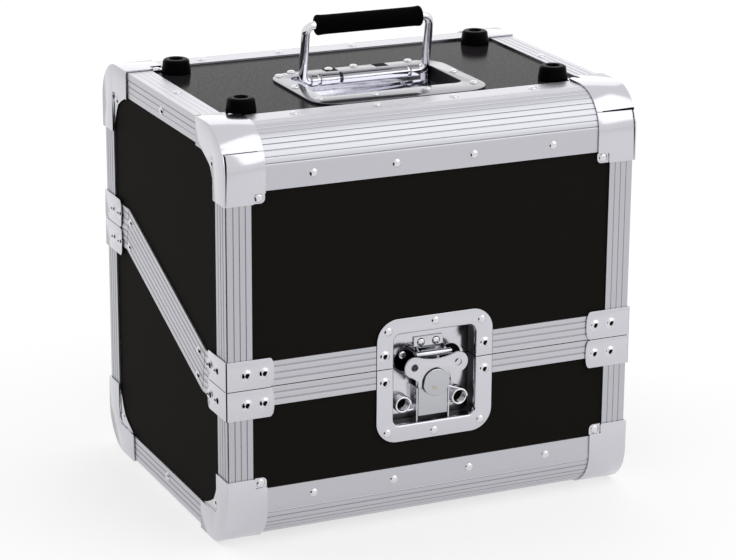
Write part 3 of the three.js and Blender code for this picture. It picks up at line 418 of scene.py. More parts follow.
def geometry_tree(name, inputs):
    """An empty tree for a modifier. inputs maps names to (socket type, default)."""
    group = bpy.data.node_groups.new(name, "GeometryNodeTree")
    group.interface.new_socket("Geometry", in_out="INPUT", socket_type="NodeSocketGeometry")
    for label, (kind, value) in inputs.items():
        socket = group.interface.new_socket(label, in_out="INPUT", socket_type=kind)
        if value is not None:
            socket.default_value = value
    group.interface.new_socket("Geometry", in_out="OUTPUT", socket_type="NodeSocketGeometry")
    start = group.nodes.new("NodeGroupInput")
    end = group.nodes.new("NodeGroupOutput")
    return group, start.outputs, end


def end_tree(group, end, geometry, finish):
    real = add(group, "GeometryNodeRealizeInstances", {"Geometry": geometry})
    painted = add(group, "GeometryNodeSetMaterial", {"Geometry": real, "Material": finish})
    group.links.new(painted.outputs[0], end.inputs[0])
    print(group.name, "has", len(group.nodes), "nodes")


def maths(group, operation, first, second=0.0):
    """One step of arithmetic in a tree, returned as its output socket."""
    return add(group, "ShaderNodeMath", {0: first, 1: second}, operation=operation).outputs[0]


def short_forms(group):
    """add and maths with this tree filled in."""
    return partial(add, group), partial(maths, group)


def grown(name, source, group, values):
    """The source object run through a tree with these input values, as a plain mesh."""
    modifier = source.modifiers.new("Tree", "NODES")
    modifier.node_group = group
    for item in group.interface.items_tree:
        if item.in_out == "INPUT" and item.name in values:
            modifier[item.identifier] = values[item.name]
    return baked(source, name)


def outline_object(name, points, edges=None):
    """A source of points, or of points joined by edges, for a tree to work on."""
    mesh = bpy.data.meshes.new(name)
    mesh.from_pydata([tuple(point) for point in points], edges or [], [])
    return object_from(name + "_source", mesh)


# %% [markdown]
# ## A tree for extruded profiles
#
# An aluminium profile is one section pushed through a die, so one tree can make them all. It
# takes three points that form a square corner, opens it to the leg length, rounds the corner,
# cuts fine V grooves at even steps from the middle of the bend, and pushes the line out along
# X. Small radii give the plain angles and a large one gives the rounded edges of the case.

# %% The tree
profile_tree, sizes, end = geometry_tree("extruded profile", {
    "Run": (LENGTH, 0.3),
    "Leg": (LENGTH, 22 * MM),
    "Bend radius": (LENGTH, 1.2 * MM),
    "Bend steps": (COUNT, 4),
    "Step": (LENGTH, 0.25 * MM),
    "First groove": (LENGTH, 0.0),
    "Groove pitch": (LENGTH, 5.3 * MM),
    "Last groove": (COUNT, 2),
    "Groove width": (LENGTH, 0.8 * MM),
    "Groove depth": (LENGTH, 0.4 * MM),
    "First leg share": (LENGTH, 1.0),
    "Finish": (FINISH, None),
    "Groove shade finish": (FINISH, None),
})
# Zero at the edge of a groove and one in its middle: from here on it is painted darker as shade and
# dust
GROOVE_EDGE = 0.3
put, calc = short_forms(profile_tree)
corner = put("GeometryNodeMeshToCurve", {"Mesh": sizes["Geometry"]})
unit = put("GeometryNodeInputPosition")
opened = put("ShaderNodeVectorMath", {0: unit, "Scale": sizes["Leg"]}, operation="SCALE")
square = put("GeometryNodeSetPosition", {"Geometry": corner, "Position": opened})
bent = put("GeometryNodeFilletCurve",
           {"Curve": square, "Count": sizes["Bend steps"],
            "Radius": sizes["Bend radius"], "Limit Radius": True}, mode="POLY")
fine = put("GeometryNodeResampleCurve", {"Curve": bent, "Length": sizes["Step"]}, mode="LENGTH")

# Distance from the middle of the bend to the nearest groove
along = put("GeometryNodeSplineParameter").outputs["Length"]
middle = calc("DIVIDE", put("GeometryNodeSplineLength").outputs["Length"], 2.0)
from_middle = calc("ABSOLUTE", calc("SUBTRACT", along, middle))
past_first = calc("SUBTRACT", from_middle, sizes["First groove"])
nearest = calc("ROUND", calc("DIVIDE", past_first, sizes["Groove pitch"]))
kept = calc("MINIMUM", calc("MAXIMUM", nearest, 0.0), sizes["Last groove"])
groove_place = calc("MULTIPLY", kept, sizes["Groove pitch"])
off_groove = calc("ABSOLUTE", calc("SUBTRACT", past_first, groove_place))

# How far each point sinks: nothing at the edge of a groove, its full depth in the middle
on_first_leg = calc("LESS_THAN", along, middle)
more_width = calc("SUBTRACT", sizes["First leg share"], 1.0)
leg_share = calc("ADD", 1.0, calc("MULTIPLY", on_first_leg, more_width))
half_width = calc("DIVIDE", calc("MULTIPLY", sizes["Groove width"], leg_share), 2.0)
open_share = calc("DIVIDE", off_groove, half_width)
closeness = calc("MAXIMUM", calc("SUBTRACT", 1.0, open_share), 0.0)
sink = calc("MULTIPLY", closeness, sizes["Groove depth"])
tangent = put("GeometryNodeInputTangent")
inward = put("ShaderNodeVectorMath", {0: (1, 0, 0), 1: tangent}, operation="CROSS_PRODUCT")
cut_in = put("ShaderNodeVectorMath", {0: inward, "Scale": sink}, operation="SCALE")
grooved = put("GeometryNodeSetPosition", {"Geometry": fine, "Offset": cut_in})

# The section is pushed along the run, and the grooves are painted darker as shade and dust
marked = put("GeometryNodeStoreNamedAttribute",
             {"Geometry": grooved, "Name": "groove", "Value": closeness},
             data_type="FLOAT", domain="POINT")
line = put("GeometryNodeCurveToMesh", {"Curve": marked})
run = put("ShaderNodeCombineXYZ", {0: sizes["Run"]})
pushed = put("GeometryNodeExtrudeMesh",
             {"Mesh": line, "Offset": run, "Offset Scale": 1.0},
             mode="EDGES")
real = put("GeometryNodeRealizeInstances", {"Geometry": pushed})
painted = put("GeometryNodeSetMaterial", {"Geometry": real, "Material": sizes["Finish"]})
mark = put("GeometryNodeInputNamedAttribute", {"Name": "groove"}, data_type="FLOAT")
shaded = put("GeometryNodeSetMaterial",
             {"Geometry": painted, "Material": sizes["Groove shade finish"],
              "Selection": calc("GREATER_THAN", mark, GROOVE_EDGE)})
profile_tree.links.new(shaded.outputs[0], end.inputs[0])
print("profile tree has", len(profile_tree.nodes), "nodes")

# %% [markdown]
# ## Rounded profiles and plain angles
#
# The tree makes a bare skin. Solidify then gives it the wall of the extrusion, and a matrix
# turns it from the tree's own axes to its place: X to the run, Y and Z to the two directions
# that point into the case. The rounded profiles also get their inner wall, which shows when
# the lid is open.

# %% Profile helper
CORNER = ((0, 0, 1), (0, 0, 0), (0, 1, 0))


def profile(name, corner, run, inward_a, inward_b, wall, finish, **values):
    source = outline_object(name, CORNER, [(0, 1), (1, 2)])
    finishes = {"Finish": finish, "Groove shade finish": groove_dust_and_shade}
    piece = grown(name, source, profile_tree, {**finishes, **values})
    solid = piece.modifiers.new("Wall", "SOLIDIFY")
    solid.thickness = wall
    solid.offset = 1
    solid.use_even_offset = True
    piece = baked(piece, name)
    axes = Matrix((run, inward_a, inward_b)).transposed().to_4x4()
    return smoothed(outward(piece, Matrix.Translation(corner) @ axes))


def joined(piece, other):
    """One object from two, for a piece made of two skins."""
    with editing(piece.data) as work:
        work.from_mesh(other.data)
    bpy.data.objects.remove(other)
    return smoothed(piece)


# %% Rounded profiles
ROUND_RADIUS = 34 * MM
ROUND_LEG = 50 * MM
LINER_INSET = 9.1 * MM
LINER_LEG = 36.9 * MM
LINER_WALL = 1.2 * MM
ROUND_PITCH = math.pi / 2 * ROUND_RADIUS / 10
# Each half, face and side has its place, the sign of a step inwards and its outward direction
halves = {"base": (BOTTOM, 1, TO_FLOOR, "bottom"), "lid": (TOP, -1, TO_TOP, "top")}
faces = {"front": (FRONT, 1, TO_FRONT), "back": (BACK, -1, TO_BACK)}
sides = {"left": (-SIDE, 1, TO_LEFT), "right": (SIDE, -1, TO_RIGHT)}

for body, (edge_z, into_z, _, edge_name) in halves.items():
    for face_name, (face_y, into_y, _) in faces.items():
        node = f"{body}_{face_name}_{edge_name}_profile"
        ways = (TO_RIGHT, Vector((0, into_y, 0)), Vector((0, 0, into_z)))
        shell = profile(
            node + "_skin", Vector((-SIDE, face_y, edge_z)), *ways, SKIN, aluminium["x"],
            **{"Run": 2 * SIDE, "Leg": ROUND_LEG, "Bend radius": ROUND_RADIUS, "Bend steps": 60,
               "Step": 0.3 * MM, "Groove pitch": ROUND_PITCH, "Last groove": 4})
        start_at = Vector((-SIDE + LINER_INSET, face_y + into_y * LINER_INSET,
                           edge_z + into_z * LINER_INSET))
        liner = profile(
            node + "_liner", start_at, *ways, LINER_WALL, aluminium["x"],
            **{"Run": 2 * (SIDE - LINER_INSET), "Leg": LINER_LEG, "Step": 2 * MM,
               "Bend radius": ROUND_RADIUS - LINER_INSET, "Bend steps": 16, "Groove depth": 0.0})
        finish_piece(joined(shell, liner), body, "aluminium", node)
print("rounded profiles: 4, pitch", round(ROUND_PITCH / MM, 2), "mm")

# %% Plain angles
ANGLE_FIRST = 6.0 * MM
ANGLE_GROOVE = 0.28 * MM
# The grooves on the left and right faces are this much wider than those on the other leg
SIDE_SHARE = 1.7


def plain_angle(node, body, corner, run_way, run, inward_a, inward_b, axis):
    piece = profile(node + "_extruded", corner, run_way, inward_a, inward_b, SKIN, aluminium[axis],
                    **{"Run": run, "First groove": ANGLE_FIRST, "Groove depth": ANGLE_GROOVE,
                       "First leg share": SIDE_SHARE})
    finish_piece(piece, body, "aluminium", node)


for body, (edge_z, into_z, _, edge_name) in halves.items():
    upward = Vector((0, 0, into_z))
    for side_name, (side_x, into_x, _) in sides.items():
        inside = Vector((into_x, 0, 0))
        node = f"{body}_{side_name}_{edge_name}_profile"
        low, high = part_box(node)
        plain_angle(node, body, Vector((side_x, low.y, edge_z)), TO_BACK, high.y - low.y,
                    inside, upward, "y")
        for face_name, (face_y, into_y, _) in faces.items():
            node = f"{body}_{face_name}_{side_name}_post"
            low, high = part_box(node)
            plain_angle(node, body, Vector((side_x, face_y, low.z)), TO_TOP, high.z - low.z,
                        inside, Vector((0, into_y, 0)), "z")
print("plain angles: 12")

# %% [markdown]
# ## Softened copies of pressed pieces
#
# Pressed steel has no knife edges. A copy of each pressed node is merged, its flat triangles
# are dissolved into whole faces, and a narrow bevel rounds its edges so that they catch the
# light. The copy then stands for the node. The handle's plate gets a wider bevel, because the
# mouth of its dish is rolled over a round punch, which is the bright line round the opening.

# %% Softened copies
DISSOLVE_ANGLE, BEVEL_FROM = math.radians(0.6), math.radians(34)


def softened(node, piece_name, material, width, segments=2):
    mesh = nodes[node].data.copy()
    with editing(mesh) as work:
        merge_doubles(work)
        bmesh.ops.dissolve_limit(
            work, angle_limit=DISSOLVE_ANGLE, verts=work.verts, edges=work.edges)
    mesh.materials.clear()
    mesh.materials.append(material)
    source = object_from(piece_name + "_source", mesh)
    bevel = source.modifiers.new("Edge", "BEVEL")
    bevel.width = width
    bevel.segments = segments
    bevel.limit_method = "ANGLE"
    bevel.angle_limit = BEVEL_FROM
    bevel.use_clamp_overlap = True
    piece = smoothed(baked(source, piece_name))
    return finish_piece(piece, nodes[node]["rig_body"], slot_of[node], node)


# The walls of a groove lean between upright and level, and are painted darker as shade and dust
WALL_LEAN = (0.3, 0.97)
for name in sorted(nodes):
    if name.endswith("_corner_cap"):
        softened(name, name.replace("_corner_cap", "_pressed_cap"), bright_plate, 0.3 * MM)
    elif name.endswith("_bracket"):
        softened(name, name.replace("_bracket", "_folded_bracket"), bright_plate, 0.25 * MM)
    elif name.endswith("_closing_rim"):
        piece = softened(name, name.replace("_rim", "_profile"), aluminium["x"], 0.12 * MM, 1)
        piece.data.materials.append(groove_dust_and_shade)
        for face in piece.data.polygons:
            lean = max(abs(face.normal.x), abs(face.normal.y))
            if WALL_LEAN[0] < lean < WALL_LEAN[1]:
                face.material_index = 1
softened("handle_plate", "handle_plate_pressed", handle_chrome_shaded, 0.45 * MM, 3)
for name in ("latch_keeper", "latch_hook", "latch_wing", "hinge_base_leaf", "hinge_lid_leaf"):
    plate = bright_plate if name in ("latch_keeper", "latch_wing") else zinc_plate
    softened(name, f"{name}_plated", plate, 0.2 * MM)
print("softened pieces done")

# %% [markdown]
# ## Dark gaps
#
# Where sheet metal meets, the eye reads a black line: along the open fold of each bracket, in
# the slit of each corner cap and in the saw cuts of the closing profiles. Nothing lights such a
# gap, so a thin black strip of painted shade sits in each, and the end walls of the handle's
# dish are painted dark as shade.

# %% Folds of the brackets
def strip(name, body, corners):
    """A thin black sheet of painted shade through pairs of points, laid into a gap."""
    mesh = bpy.data.meshes.new(name)
    flat = [tuple(point) for pair in corners for point in pair]
    quads = [(i, i + 1, i + 3, i + 2) for i in range(0, len(flat) - 2, 2)]
    mesh.from_pydata(flat, [], quads)
    mesh.materials.append(shade_black)
    finish_piece(object_from(name, mesh), body, "rubber")


FOLD_OUT, FOLD_IN = 1.36 * MM, 0.72 * MM
for body in halves:
    for face_name, (face_y, into_y, _) in faces.items():
        for side_name, (side_x, into_x, _) in sides.items():
            low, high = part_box(f"{body}_{face_name}_{side_name}_bracket")
            near_side = Vector((side_x - into_x * FOLD_OUT, face_y - into_y * FOLD_IN))
            near_face = Vector((side_x - into_x * FOLD_IN, face_y - into_y * FOLD_OUT))
            strip(f"{body}_{face_name}_{side_name}_fold", body,
                  [((*near_side, z), (*near_face, z)) for z in (low.z, high.z)])

# %% Slits of the corner caps
# In mm: each slit opens, keeps its width for a while and then narrows to a point
SLIT_STARTS = {"left": 17.5, "right": 16.5}
SLIT_FROM, SLIT_WIDTH, SLIT_REACH, SLIT_POINT = -0.3, 1.3, 59.9, 0.05
SLIT_OPENING = ((0.2, SLIT_FROM + 0.1), (1.6, SLIT_WIDTH), (8, SLIT_WIDTH))
SLIT_STEPS = 8
SLIT_RADIUS = ROUND_RADIUS / MM + 0.5


def slit_pairs(start):
    """Pairs of (across, depth, down) in mm along one slit, on the cap's own round."""
    widths = [(start + past, wide) for past, wide in SLIT_OPENING] + [(SLIT_REACH, SLIT_POINT)]
    for (low, wide), (high, narrow) in zip(widths, widths[1:]):
        for k in range(SLIT_STEPS):
            down = low + (high - low) * k / SLIT_STEPS
            fall = max(ROUND_RADIUS / MM - down, 0)
            depth = ROUND_RADIUS / MM - math.sqrt(SLIT_RADIUS ** 2 - fall ** 2)
            yield ((SLIT_FROM, depth, down),
                   (wide + (narrow - wide) * k / SLIT_STEPS, depth, down))


# The slits of the lid run down the face, those of the base along the underside. One cap has an
# open seam in place of its slit
OPEN_SEAM = ("lid", "front", "right")
for body, (edge_z, into_z, _, _) in halves.items():
    for face_name, (face_y, into_y, _) in faces.items():
        for side_name, (side_x, into_x, _) in sides.items():
            if (body, face_name, side_name) == OPEN_SEAM:
                continue
            pairs = []
            for pair in slit_pairs(SLIT_STARTS[side_name]):
                if body == "base":
                    pair = [(x, z, y) for x, y, z in pair]
                pairs.append([(side_x + into_x * x * MM, face_y + into_y * y * MM,
                               edge_z + into_z * z * MM) for x, y, z in pair])
            strip(f"{body}_{face_name}_{side_name}_slit", body, pairs)

# %% Seams of the two front caps
# The folded sheets of the left cap meet closely. Those of the right one leave a gap that widens
SEAM_STEPS, SEAM_INNER, SEAM_END, SEAM_LIFT = 12, 28.8, 0.3, 0.06
SEAM_WIDTHS = {"left": (0.4, 0.4), "right": (0.8, 1.9)}
cap_reach = (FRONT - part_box("lid_front_right_corner_cap")[0].y) / MM
seam_radius = ROUND_RADIUS / MM + cap_reach + SEAM_LIFT


def on_cap_round(side_name, across, down):
    """A point just above the round of a front cap of the lid, given in mm."""
    side_x, into_x, _ = sides[side_name]
    depth = ROUND_RADIUS / MM - math.sqrt(seam_radius ** 2 - (ROUND_RADIUS / MM - down) ** 2)
    return (side_x + into_x * across * MM, FRONT + depth * MM, TOP - down * MM)


for side_name, (narrow, wide) in SEAM_WIDTHS.items():
    seam_pairs = []
    for k in range(SEAM_STEPS + 1):
        across = SEAM_INNER - k / SEAM_STEPS * (SEAM_INNER + cap_reach - SEAM_END)
        width = narrow + k / SEAM_STEPS * (wide - narrow)
        seam_pairs.append([on_cap_round(side_name, across, SLIT_STARTS[side_name] + v * width)
                           for v in (-0.5, 0.5)])
    strip(f"lid_front_{side_name}_seam", "lid", seam_pairs)

# %% Saw cuts of the closing profiles
SLOPE_BENDS = ((-90.0 * MM, SPLIT_FRONT), (89.3 * MM, SPLIT_BACK))
KERF_HALF, KERF_FACE = 0.28 * MM, 0.03 * MM
slope_run = SLOPE_BENDS[1][0] - SLOPE_BENDS[0][0]
SLOPE_LEAN = math.tan(math.atan2(SPLIT_BACK - SPLIT_FRONT, slope_run) / 2)
KERF_SPANS = {"base": (-16.3 * MM, -0.4 * MM), "lid": (0.4 * MM, 21.3 * MM)}
for body, span in KERF_SPANS.items():
    for side_name, (side_x, into_x, _) in sides.items():
        for bend, (bend_y, bend_z) in zip(("low", "high"), SLOPE_BENDS):
            x, y = side_x - into_x * KERF_FACE, MIDDLE_Y + bend_y
            strip(f"{body}_{side_name}_{bend}_saw_cut", body, [
                ((x, y - SLOPE_LEAN * h - KERF_HALF, bend_z + h),
                 (x, y - SLOPE_LEAN * h + KERF_HALF, bend_z + h)) for h in span])

# %% Painted shade on the end walls and notches of the handle's dish
plate_piece = bpy.data.objects["handle_plate_pressed"]
plate_piece.data.materials.append(shade_dark_steel)
plate_piece.data.materials.append(dish_chrome_lit)
plate_low, plate_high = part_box("handle_plate")
PLATE_FACE = TOP + 0.2 * MM
WALL_TURN, WALL_DROP, END_WALL = 0.8, 1.9 * MM, 55 * MM
# Below the flange, the end walls are painted dark as shade and the rest of the dish bright as light
for face in plate_piece.data.polygons:
    if face.center.z < PLATE_FACE - WALL_DROP:
        is_end = abs(face.normal.x) > WALL_TURN and abs(face.center.x) > END_WALL
        face.material_index = 1 if is_end else 2
# Over each notch of the plate lies a black sheet of painted shade
NOTCHES, NOTCH_HALF, NOTCH_DEPTH = (-21 * MM, 26 * MM), 5.9 * MM, 10.5 * MM
notch_face = PLATE_FACE + 0.05 * MM
for i, x in enumerate(NOTCHES):
    strip(f"handle_plate_notch_{i}", "lid", [
        ((x - NOTCH_HALF, y, notch_face), (x + NOTCH_HALF, y, notch_face))
        for y in (plate_high.y - NOTCH_DEPTH, plate_high.y - 0.2 * MM)])
print("dark gaps ready")

# %% [markdown]
# ## Foam lining
#
# The inside of every panel carries a thin sheet of foam between the lips of the profiles. The
# panel's own inner face is copied, drawn in from its edges until it clears the aluminium, and
# given the thickness of the foam, so the lining follows the slanting split by itself.

# %% Lining sheets
LINING_THICKNESS = 1.2 * MM
LINING_GAP = 0.05 * MM
LINING_INSET = 11.5 * MM
FACING_SHARE, FLAT_ANGLE = 0.99, math.radians(1)


def lined(node, body, inside):
    """A foam sheet on the face of a panel that looks in this direction."""
    mesh = nodes[node].data.copy()
    with editing(mesh) as work:
        merge_doubles(work)
        work.normal_update()
        deepest = max(face.calc_center_median().dot(inside) for face in work.faces)
        others = [face for face in work.faces if face.normal.dot(inside) < FACING_SHARE
                  or face.calc_center_median().dot(inside) < deepest - SKIN]
        bmesh.ops.delete(work, geom=others, context="FACES")
        bmesh.ops.dissolve_limit(
            work, angle_limit=FLAT_ANGLE, verts=work.verts, edges=work.edges)
        border = bmesh.ops.inset_region(
            work, faces=work.faces, thickness=LINING_INSET, use_even_offset=True)["faces"]
        bmesh.ops.delete(work, geom=border, context="FACES")
        bmesh.ops.translate(work, vec=inside * LINING_GAP, verts=work.verts)
        grown_up = bmesh.ops.extrude_face_region(work, geom=work.faces)["geom"]
        raised = [item for item in grown_up if isinstance(item, bmesh.types.BMVert)]
        bmesh.ops.translate(work, vec=inside * LINING_THICKNESS, verts=raised)
        bmesh.ops.recalc_face_normals(work, faces=work.faces)
    mesh.materials.clear()
    mesh.materials.append(lining)
    finish_piece(object_from(node.replace("_panel", "_lining"), mesh), body, "rubber")


for body, (_, _, facing_z, _) in halves.items():
    for face_name, (_, _, facing_y) in faces.items():
        lined(f"{body}_{face_name}_panel", body, -facing_y)
    for side_name, (_, _, facing_x) in sides.items():
        lined(f"{body}_{side_name}_panel", body, -facing_x)
lined("base_floor_panel", "base", TO_TOP)
lined("lid_top_panel", "lid", TO_FLOOR)
print("lining sheets: 10")

# %% [markdown]
# ## A tree for rivets
#
# A case like this is held together by domed rivets. One tree makes them all: it takes a cloud
# of points, each with the direction that its rivet faces, shapes one head from a ball whose
# lower half is pressed flat, and puts a copy on every point. Blind rivets keep a hole in the
# middle where their pin broke off, painted black as shade, and a thin flange round the dome.

# %% The rivet tree
rivet_tree, sizes, end = geometry_tree("domed rivets", {
    "Head radius": (LENGTH, 3.7 * MM),
    "Head height": (LENGTH, 1.6 * MM),
    "Flange share": (LENGTH, 1.0),
    "Hole radius": (LENGTH, 0.0),
    "Hole depth": (LENGTH, 0.0),
    "Finish": (FINISH, None),
    "Hole shade finish": (FINISH, None),
})
# A power of one half would give a ball, and a little more gives flatter shoulders. The flange's
# rim keeps a share of the head's height, and faces of the hole are painted black as shade above its
# base
DOME_POWER, RIM_LIFT, DARK_FROM = 0.6, 0.16, 0.02 * MM
put, calc = short_forms(rivet_tree)
ball = put("GeometryNodeMeshUVSphere", {"Segments": 24, "Rings": 28, "Radius": 1.0})
place = put("GeometryNodeInputPosition")
x, y, z = put("ShaderNodeSeparateXYZ", {0: place}).outputs
flat = put("ShaderNodeCombineXYZ", {0: x, 1: y, 2: 0.0})
reach = put("ShaderNodeVectorMath", {0: flat}, operation="LENGTH").outputs["Value"]
dome_reach = calc("DIVIDE", reach, sizes["Flange share"])
dome_rest = calc("SUBTRACT", 1.0, calc("MULTIPLY", dome_reach, dome_reach))
dome = calc("POWER", calc("MAXIMUM", dome_rest, 0.0), DOME_POWER)
upper = calc("GREATER_THAN", z, 0.0)
rim_lift = calc("MULTIPLY", calc("MAXIMUM", z, 0.0), RIM_LIFT)
shown = calc("MULTIPLY", calc("MAXIMUM", dome, rim_lift), upper)
tall = calc("MULTIPLY", shown, sizes["Head height"])
wide = calc("MULTIPLY", reach, sizes["Head radius"])
in_hole = calc("MULTIPLY", calc("LESS_THAN", wide, sizes["Hole radius"]), upper)
height = calc("SUBTRACT", tall, calc("MULTIPLY", in_hole, sizes["Hole depth"]))
level_place = put("ShaderNodeVectorMath", {0: flat, "Scale": sizes["Head radius"]},
                  operation="SCALE")
raised = put("ShaderNodeCombineXYZ", {2: height})
shaped = put("ShaderNodeVectorMath", {0: level_place, 1: raised}, operation="ADD")
head = put("GeometryNodeSetPosition", {"Geometry": ball.outputs["Mesh"], "Position": shaped})

# Finishes, then one copy on every point, turned to where it faces
bright = put("GeometryNodeSetMaterial", {"Geometry": head, "Material": sizes["Finish"]})
now = put("GeometryNodeInputPosition")
now_x, now_y, now_z = put("ShaderNodeSeparateXYZ", {0: now}).outputs
now_flat = put("ShaderNodeCombineXYZ", {0: now_x, 1: now_y})
now_reach = put("ShaderNodeVectorMath", {0: now_flat}, operation="LENGTH").outputs["Value"]
dark_faces = calc("MULTIPLY", calc("LESS_THAN", now_reach, sizes["Hole radius"]),
                  calc("GREATER_THAN", now_z, DARK_FROM))
holed = put("GeometryNodeSetMaterial",
            {"Geometry": bright, "Selection": dark_faces,
             "Material": sizes["Hole shade finish"]})
facing = put("GeometryNodeInputNamedAttribute", {"Name": "facing"}, data_type="FLOAT_VECTOR")
turned = put("FunctionNodeAlignRotationToVector", {"Vector": facing}, axis="Z")
copies = put("GeometryNodeInstanceOnPoints",
             {"Points": sizes["Geometry"], "Instance": holed,
              "Rotation": turned})
real = put("GeometryNodeRealizeInstances", {"Geometry": copies})
rivet_tree.links.new(real.outputs[0], end.inputs[0])
print("rivet tree has", len(rivet_tree.nodes), "nodes")

# %% Rivet helper
STYLES = {
    "solid": {"Head radius": 3.7 * MM, "Head height": 1.7 * MM, "Flange share": 1.0},
    "cap": {"Head radius": 3.8 * MM, "Head height": 1.5 * MM, "Flange share": 1.0},
    "blind": {"Head radius": 5.1 * MM, "Head height": 1.7 * MM, "Flange share": 0.86,
              "Hole radius": 1.7 * MM, "Hole depth": 1.0 * MM},
    "flat": {"Head radius": 3.4 * MM, "Head height": 1.1 * MM, "Flange share": 1.0},
}


def facing_points(name, places):
    """A cloud of points at (x, y, z, direction) places, for a tree that turns its copies."""
    source = outline_object(name, [place[:3] for place in places])
    attribute = source.data.attributes.new("facing", "FLOAT_VECTOR", "POINT")
    for item, place in zip(attribute.data, places):
        item.vector = place[3]
    return source


RIVET_SMOOTH_ANGLE = math.radians(50)


def rivets(name, body, slot, style, places):
    values = {**STYLES[style], "Finish": rivet_steel, "Hole shade finish": shade_black}
    piece = grown(name, facing_points(name, places), rivet_tree, values)
    finish_piece(smoothed(piece, RIVET_SMOOTH_ANGLE), body, slot)
    print(name, len(places))


# %% [markdown]
# ## Where the rivets sit
#
# The rounded profiles have four rivets along each lip, and the angles that run from front to
# back have one in the middle of each leg. Every bracket has two blind rivets on each leg, every
# cap one in each sunk ear, and each closing profile one at either end of its slopes.

# %% Rivets on profiles
LIP_RIVET = 39.5 * MM
LIP_PLACES = [v * MM for v in (-108, -35, 35, 108)]
ANGLE_RIVET = 14 * MM

for body, (edge_z, into_z, facing_z, _) in halves.items():
    places = []
    for face_y, into_y, facing_y in faces.values():
        for x in LIP_PLACES:
            places.append((x, face_y, edge_z + into_z * LIP_RIVET, facing_y))
            places.append((x, face_y + into_y * LIP_RIVET, edge_z, facing_z))
    for side_x, into_x, facing_x in sides.values():
        places.append((side_x, MIDDLE_Y, edge_z + into_z * ANGLE_RIVET, facing_x))
        places.append((side_x + into_x * ANGLE_RIVET, MIDDLE_Y, edge_z, facing_z))
    rivets(f"{body}_profile_rivets", body, "aluminium", "solid", places)

# %% Rivets on brackets
BRACKET_HEIGHT = 12.8 * MM
FRONT_LEG_PLACES = [v * MM for v in (16.6, 31.9)]
SIDE_LEG_PLACES = [v * MM for v in (19.9, 36.2)]
for body, (_, into_z, _, _) in halves.items():
    places = []
    for face_name, (face_y, into_y, facing_y) in faces.items():
        z = (SPLIT_FRONT if face_name == "front" else SPLIT_BACK) - into_z * BRACKET_HEIGHT
        face = face_y + facing_y.y * SHEET_FACE
        for side_x, into_x, facing_x in sides.values():
            side = side_x + facing_x.x * SHEET_FACE
            places += [(side_x + into_x * v, face, z, facing_y) for v in FRONT_LEG_PLACES]
            places += [(side, face_y + into_y * v, z, facing_x) for v in SIDE_LEG_PLACES]
    rivets(f"{body}_bracket_rivets", body, "chrome", "blind", places)

# %% Rivets on corner caps
SIDE_EAR = (30 * MM, 31 * MM)
FLAP_EAR = (28.5 * MM, 55.3 * MM)
EAR_FACE = 0.3 * MM
for body, (edge_z, into_z, facing_z, _) in halves.items():
    places = []
    for face_y, into_y, facing_y in faces.values():
        for side_x, into_x, facing_x in sides.values():
            inner = side_x + into_x * EAR_FACE
            across = side_x + into_x * FLAP_EAR[0]
            places += [
                (inner, face_y + into_y * SIDE_EAR[0], edge_z + into_z * SIDE_EAR[1], facing_x),
                (across, face_y + into_y * EAR_FACE, edge_z + into_z * FLAP_EAR[1], facing_y),
                (across, face_y + into_y * FLAP_EAR[1], edge_z + into_z * EAR_FACE, facing_z),
            ]
    rivets(f"{body}_cap_rivets", body, "chrome", "cap", places)

# %% Rivets on the slopes of the closing profiles
SLOPE_ENDS = {"base": ((-76.3, 131.9), (86.2, 197.0)), "lid": ((-79.6, 154.3), (82.3, 219.8))}
for body, ends in SLOPE_ENDS.items():
    places = [(side_x, MIDDLE_Y + y * MM, BOTTOM + z * MM, facing_x)
              for side_x, _, facing_x in sides.values() for y, z in ends]
    rivets(f"{body}_slope_rivets", body, "aluminium", "solid", places)

# %% Rivets on the latch
dish_low, dish_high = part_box("latch_upper_dish")
LATCH_X = (dish_low.x + dish_high.x) / 2
latch_face = dish_low.y
KEEPER_SHEET = 1.5 * MM
keeper_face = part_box("latch_keeper")[1].y - KEEPER_SHEET


def on_latch(*places, face=latch_face):
    """Places given as (across, up from the split) in millimetres on a face of the latch."""
    return [(LATCH_X + x * MM, face, SPLIT_FRONT + z * MM, TO_FRONT) for x, z in places]


keeper_rivets = on_latch((-6.9, 14.8), (6.9, 14.8), face=keeper_face)
rivets("latch_upper_rivets", "lid", "chrome", "solid",
       on_latch((-43, 32.6), (0, 37.1), (43, 32.6)) + keeper_rivets)
rivets("latch_lower_rivets", "base", "chrome", "solid",
       on_latch((-43, -56.4), (0, -59.8), (43, -56.4)))
rivets("latch_upper_side_rivets", "lid", "chrome", "blind", on_latch((-46, 11.6), (46, 11.6)))
rivets("latch_lower_side_rivets", "base", "chrome", "blind", on_latch((-46, -11.8), (46, -11.8)))

# %% Rivets on the handle plate
# Across from the middle of the plate and back from the bail's axis, as seen in the photograph
handle_joint = next(joint for joint in frame["joints"] if joint["name"] == "handle_hinge")
handle_axis = Vector(handle_joint["pos_m"])
DISH_FLOOR = plate_low.z + 1.2 * MM
FLANGE_RIVETS = ((-70, 14), (-73, -28), (74, -28), (-70, -72.5), (72, -71.5), (-21.5, -76),
                 (26, -76), (55, 23), (3.3, 23), (-21, 21), (-55, 23))
DISH_RIVETS = ((-24, -38), (-12, -43), (30, -42), (-57, -42))


def on_plate(places, height):
    return [(x * MM, handle_axis.y + y * MM, height, TO_TOP) for x, y in places]


rivets("handle_plate_rivets", "lid", "chrome", "solid", on_plate(FLANGE_RIVETS, PLATE_FACE))
rivets("handle_dish_rivets", "lid", "chrome", "flat", on_plate(DISH_RIVETS, DISH_FLOOR))

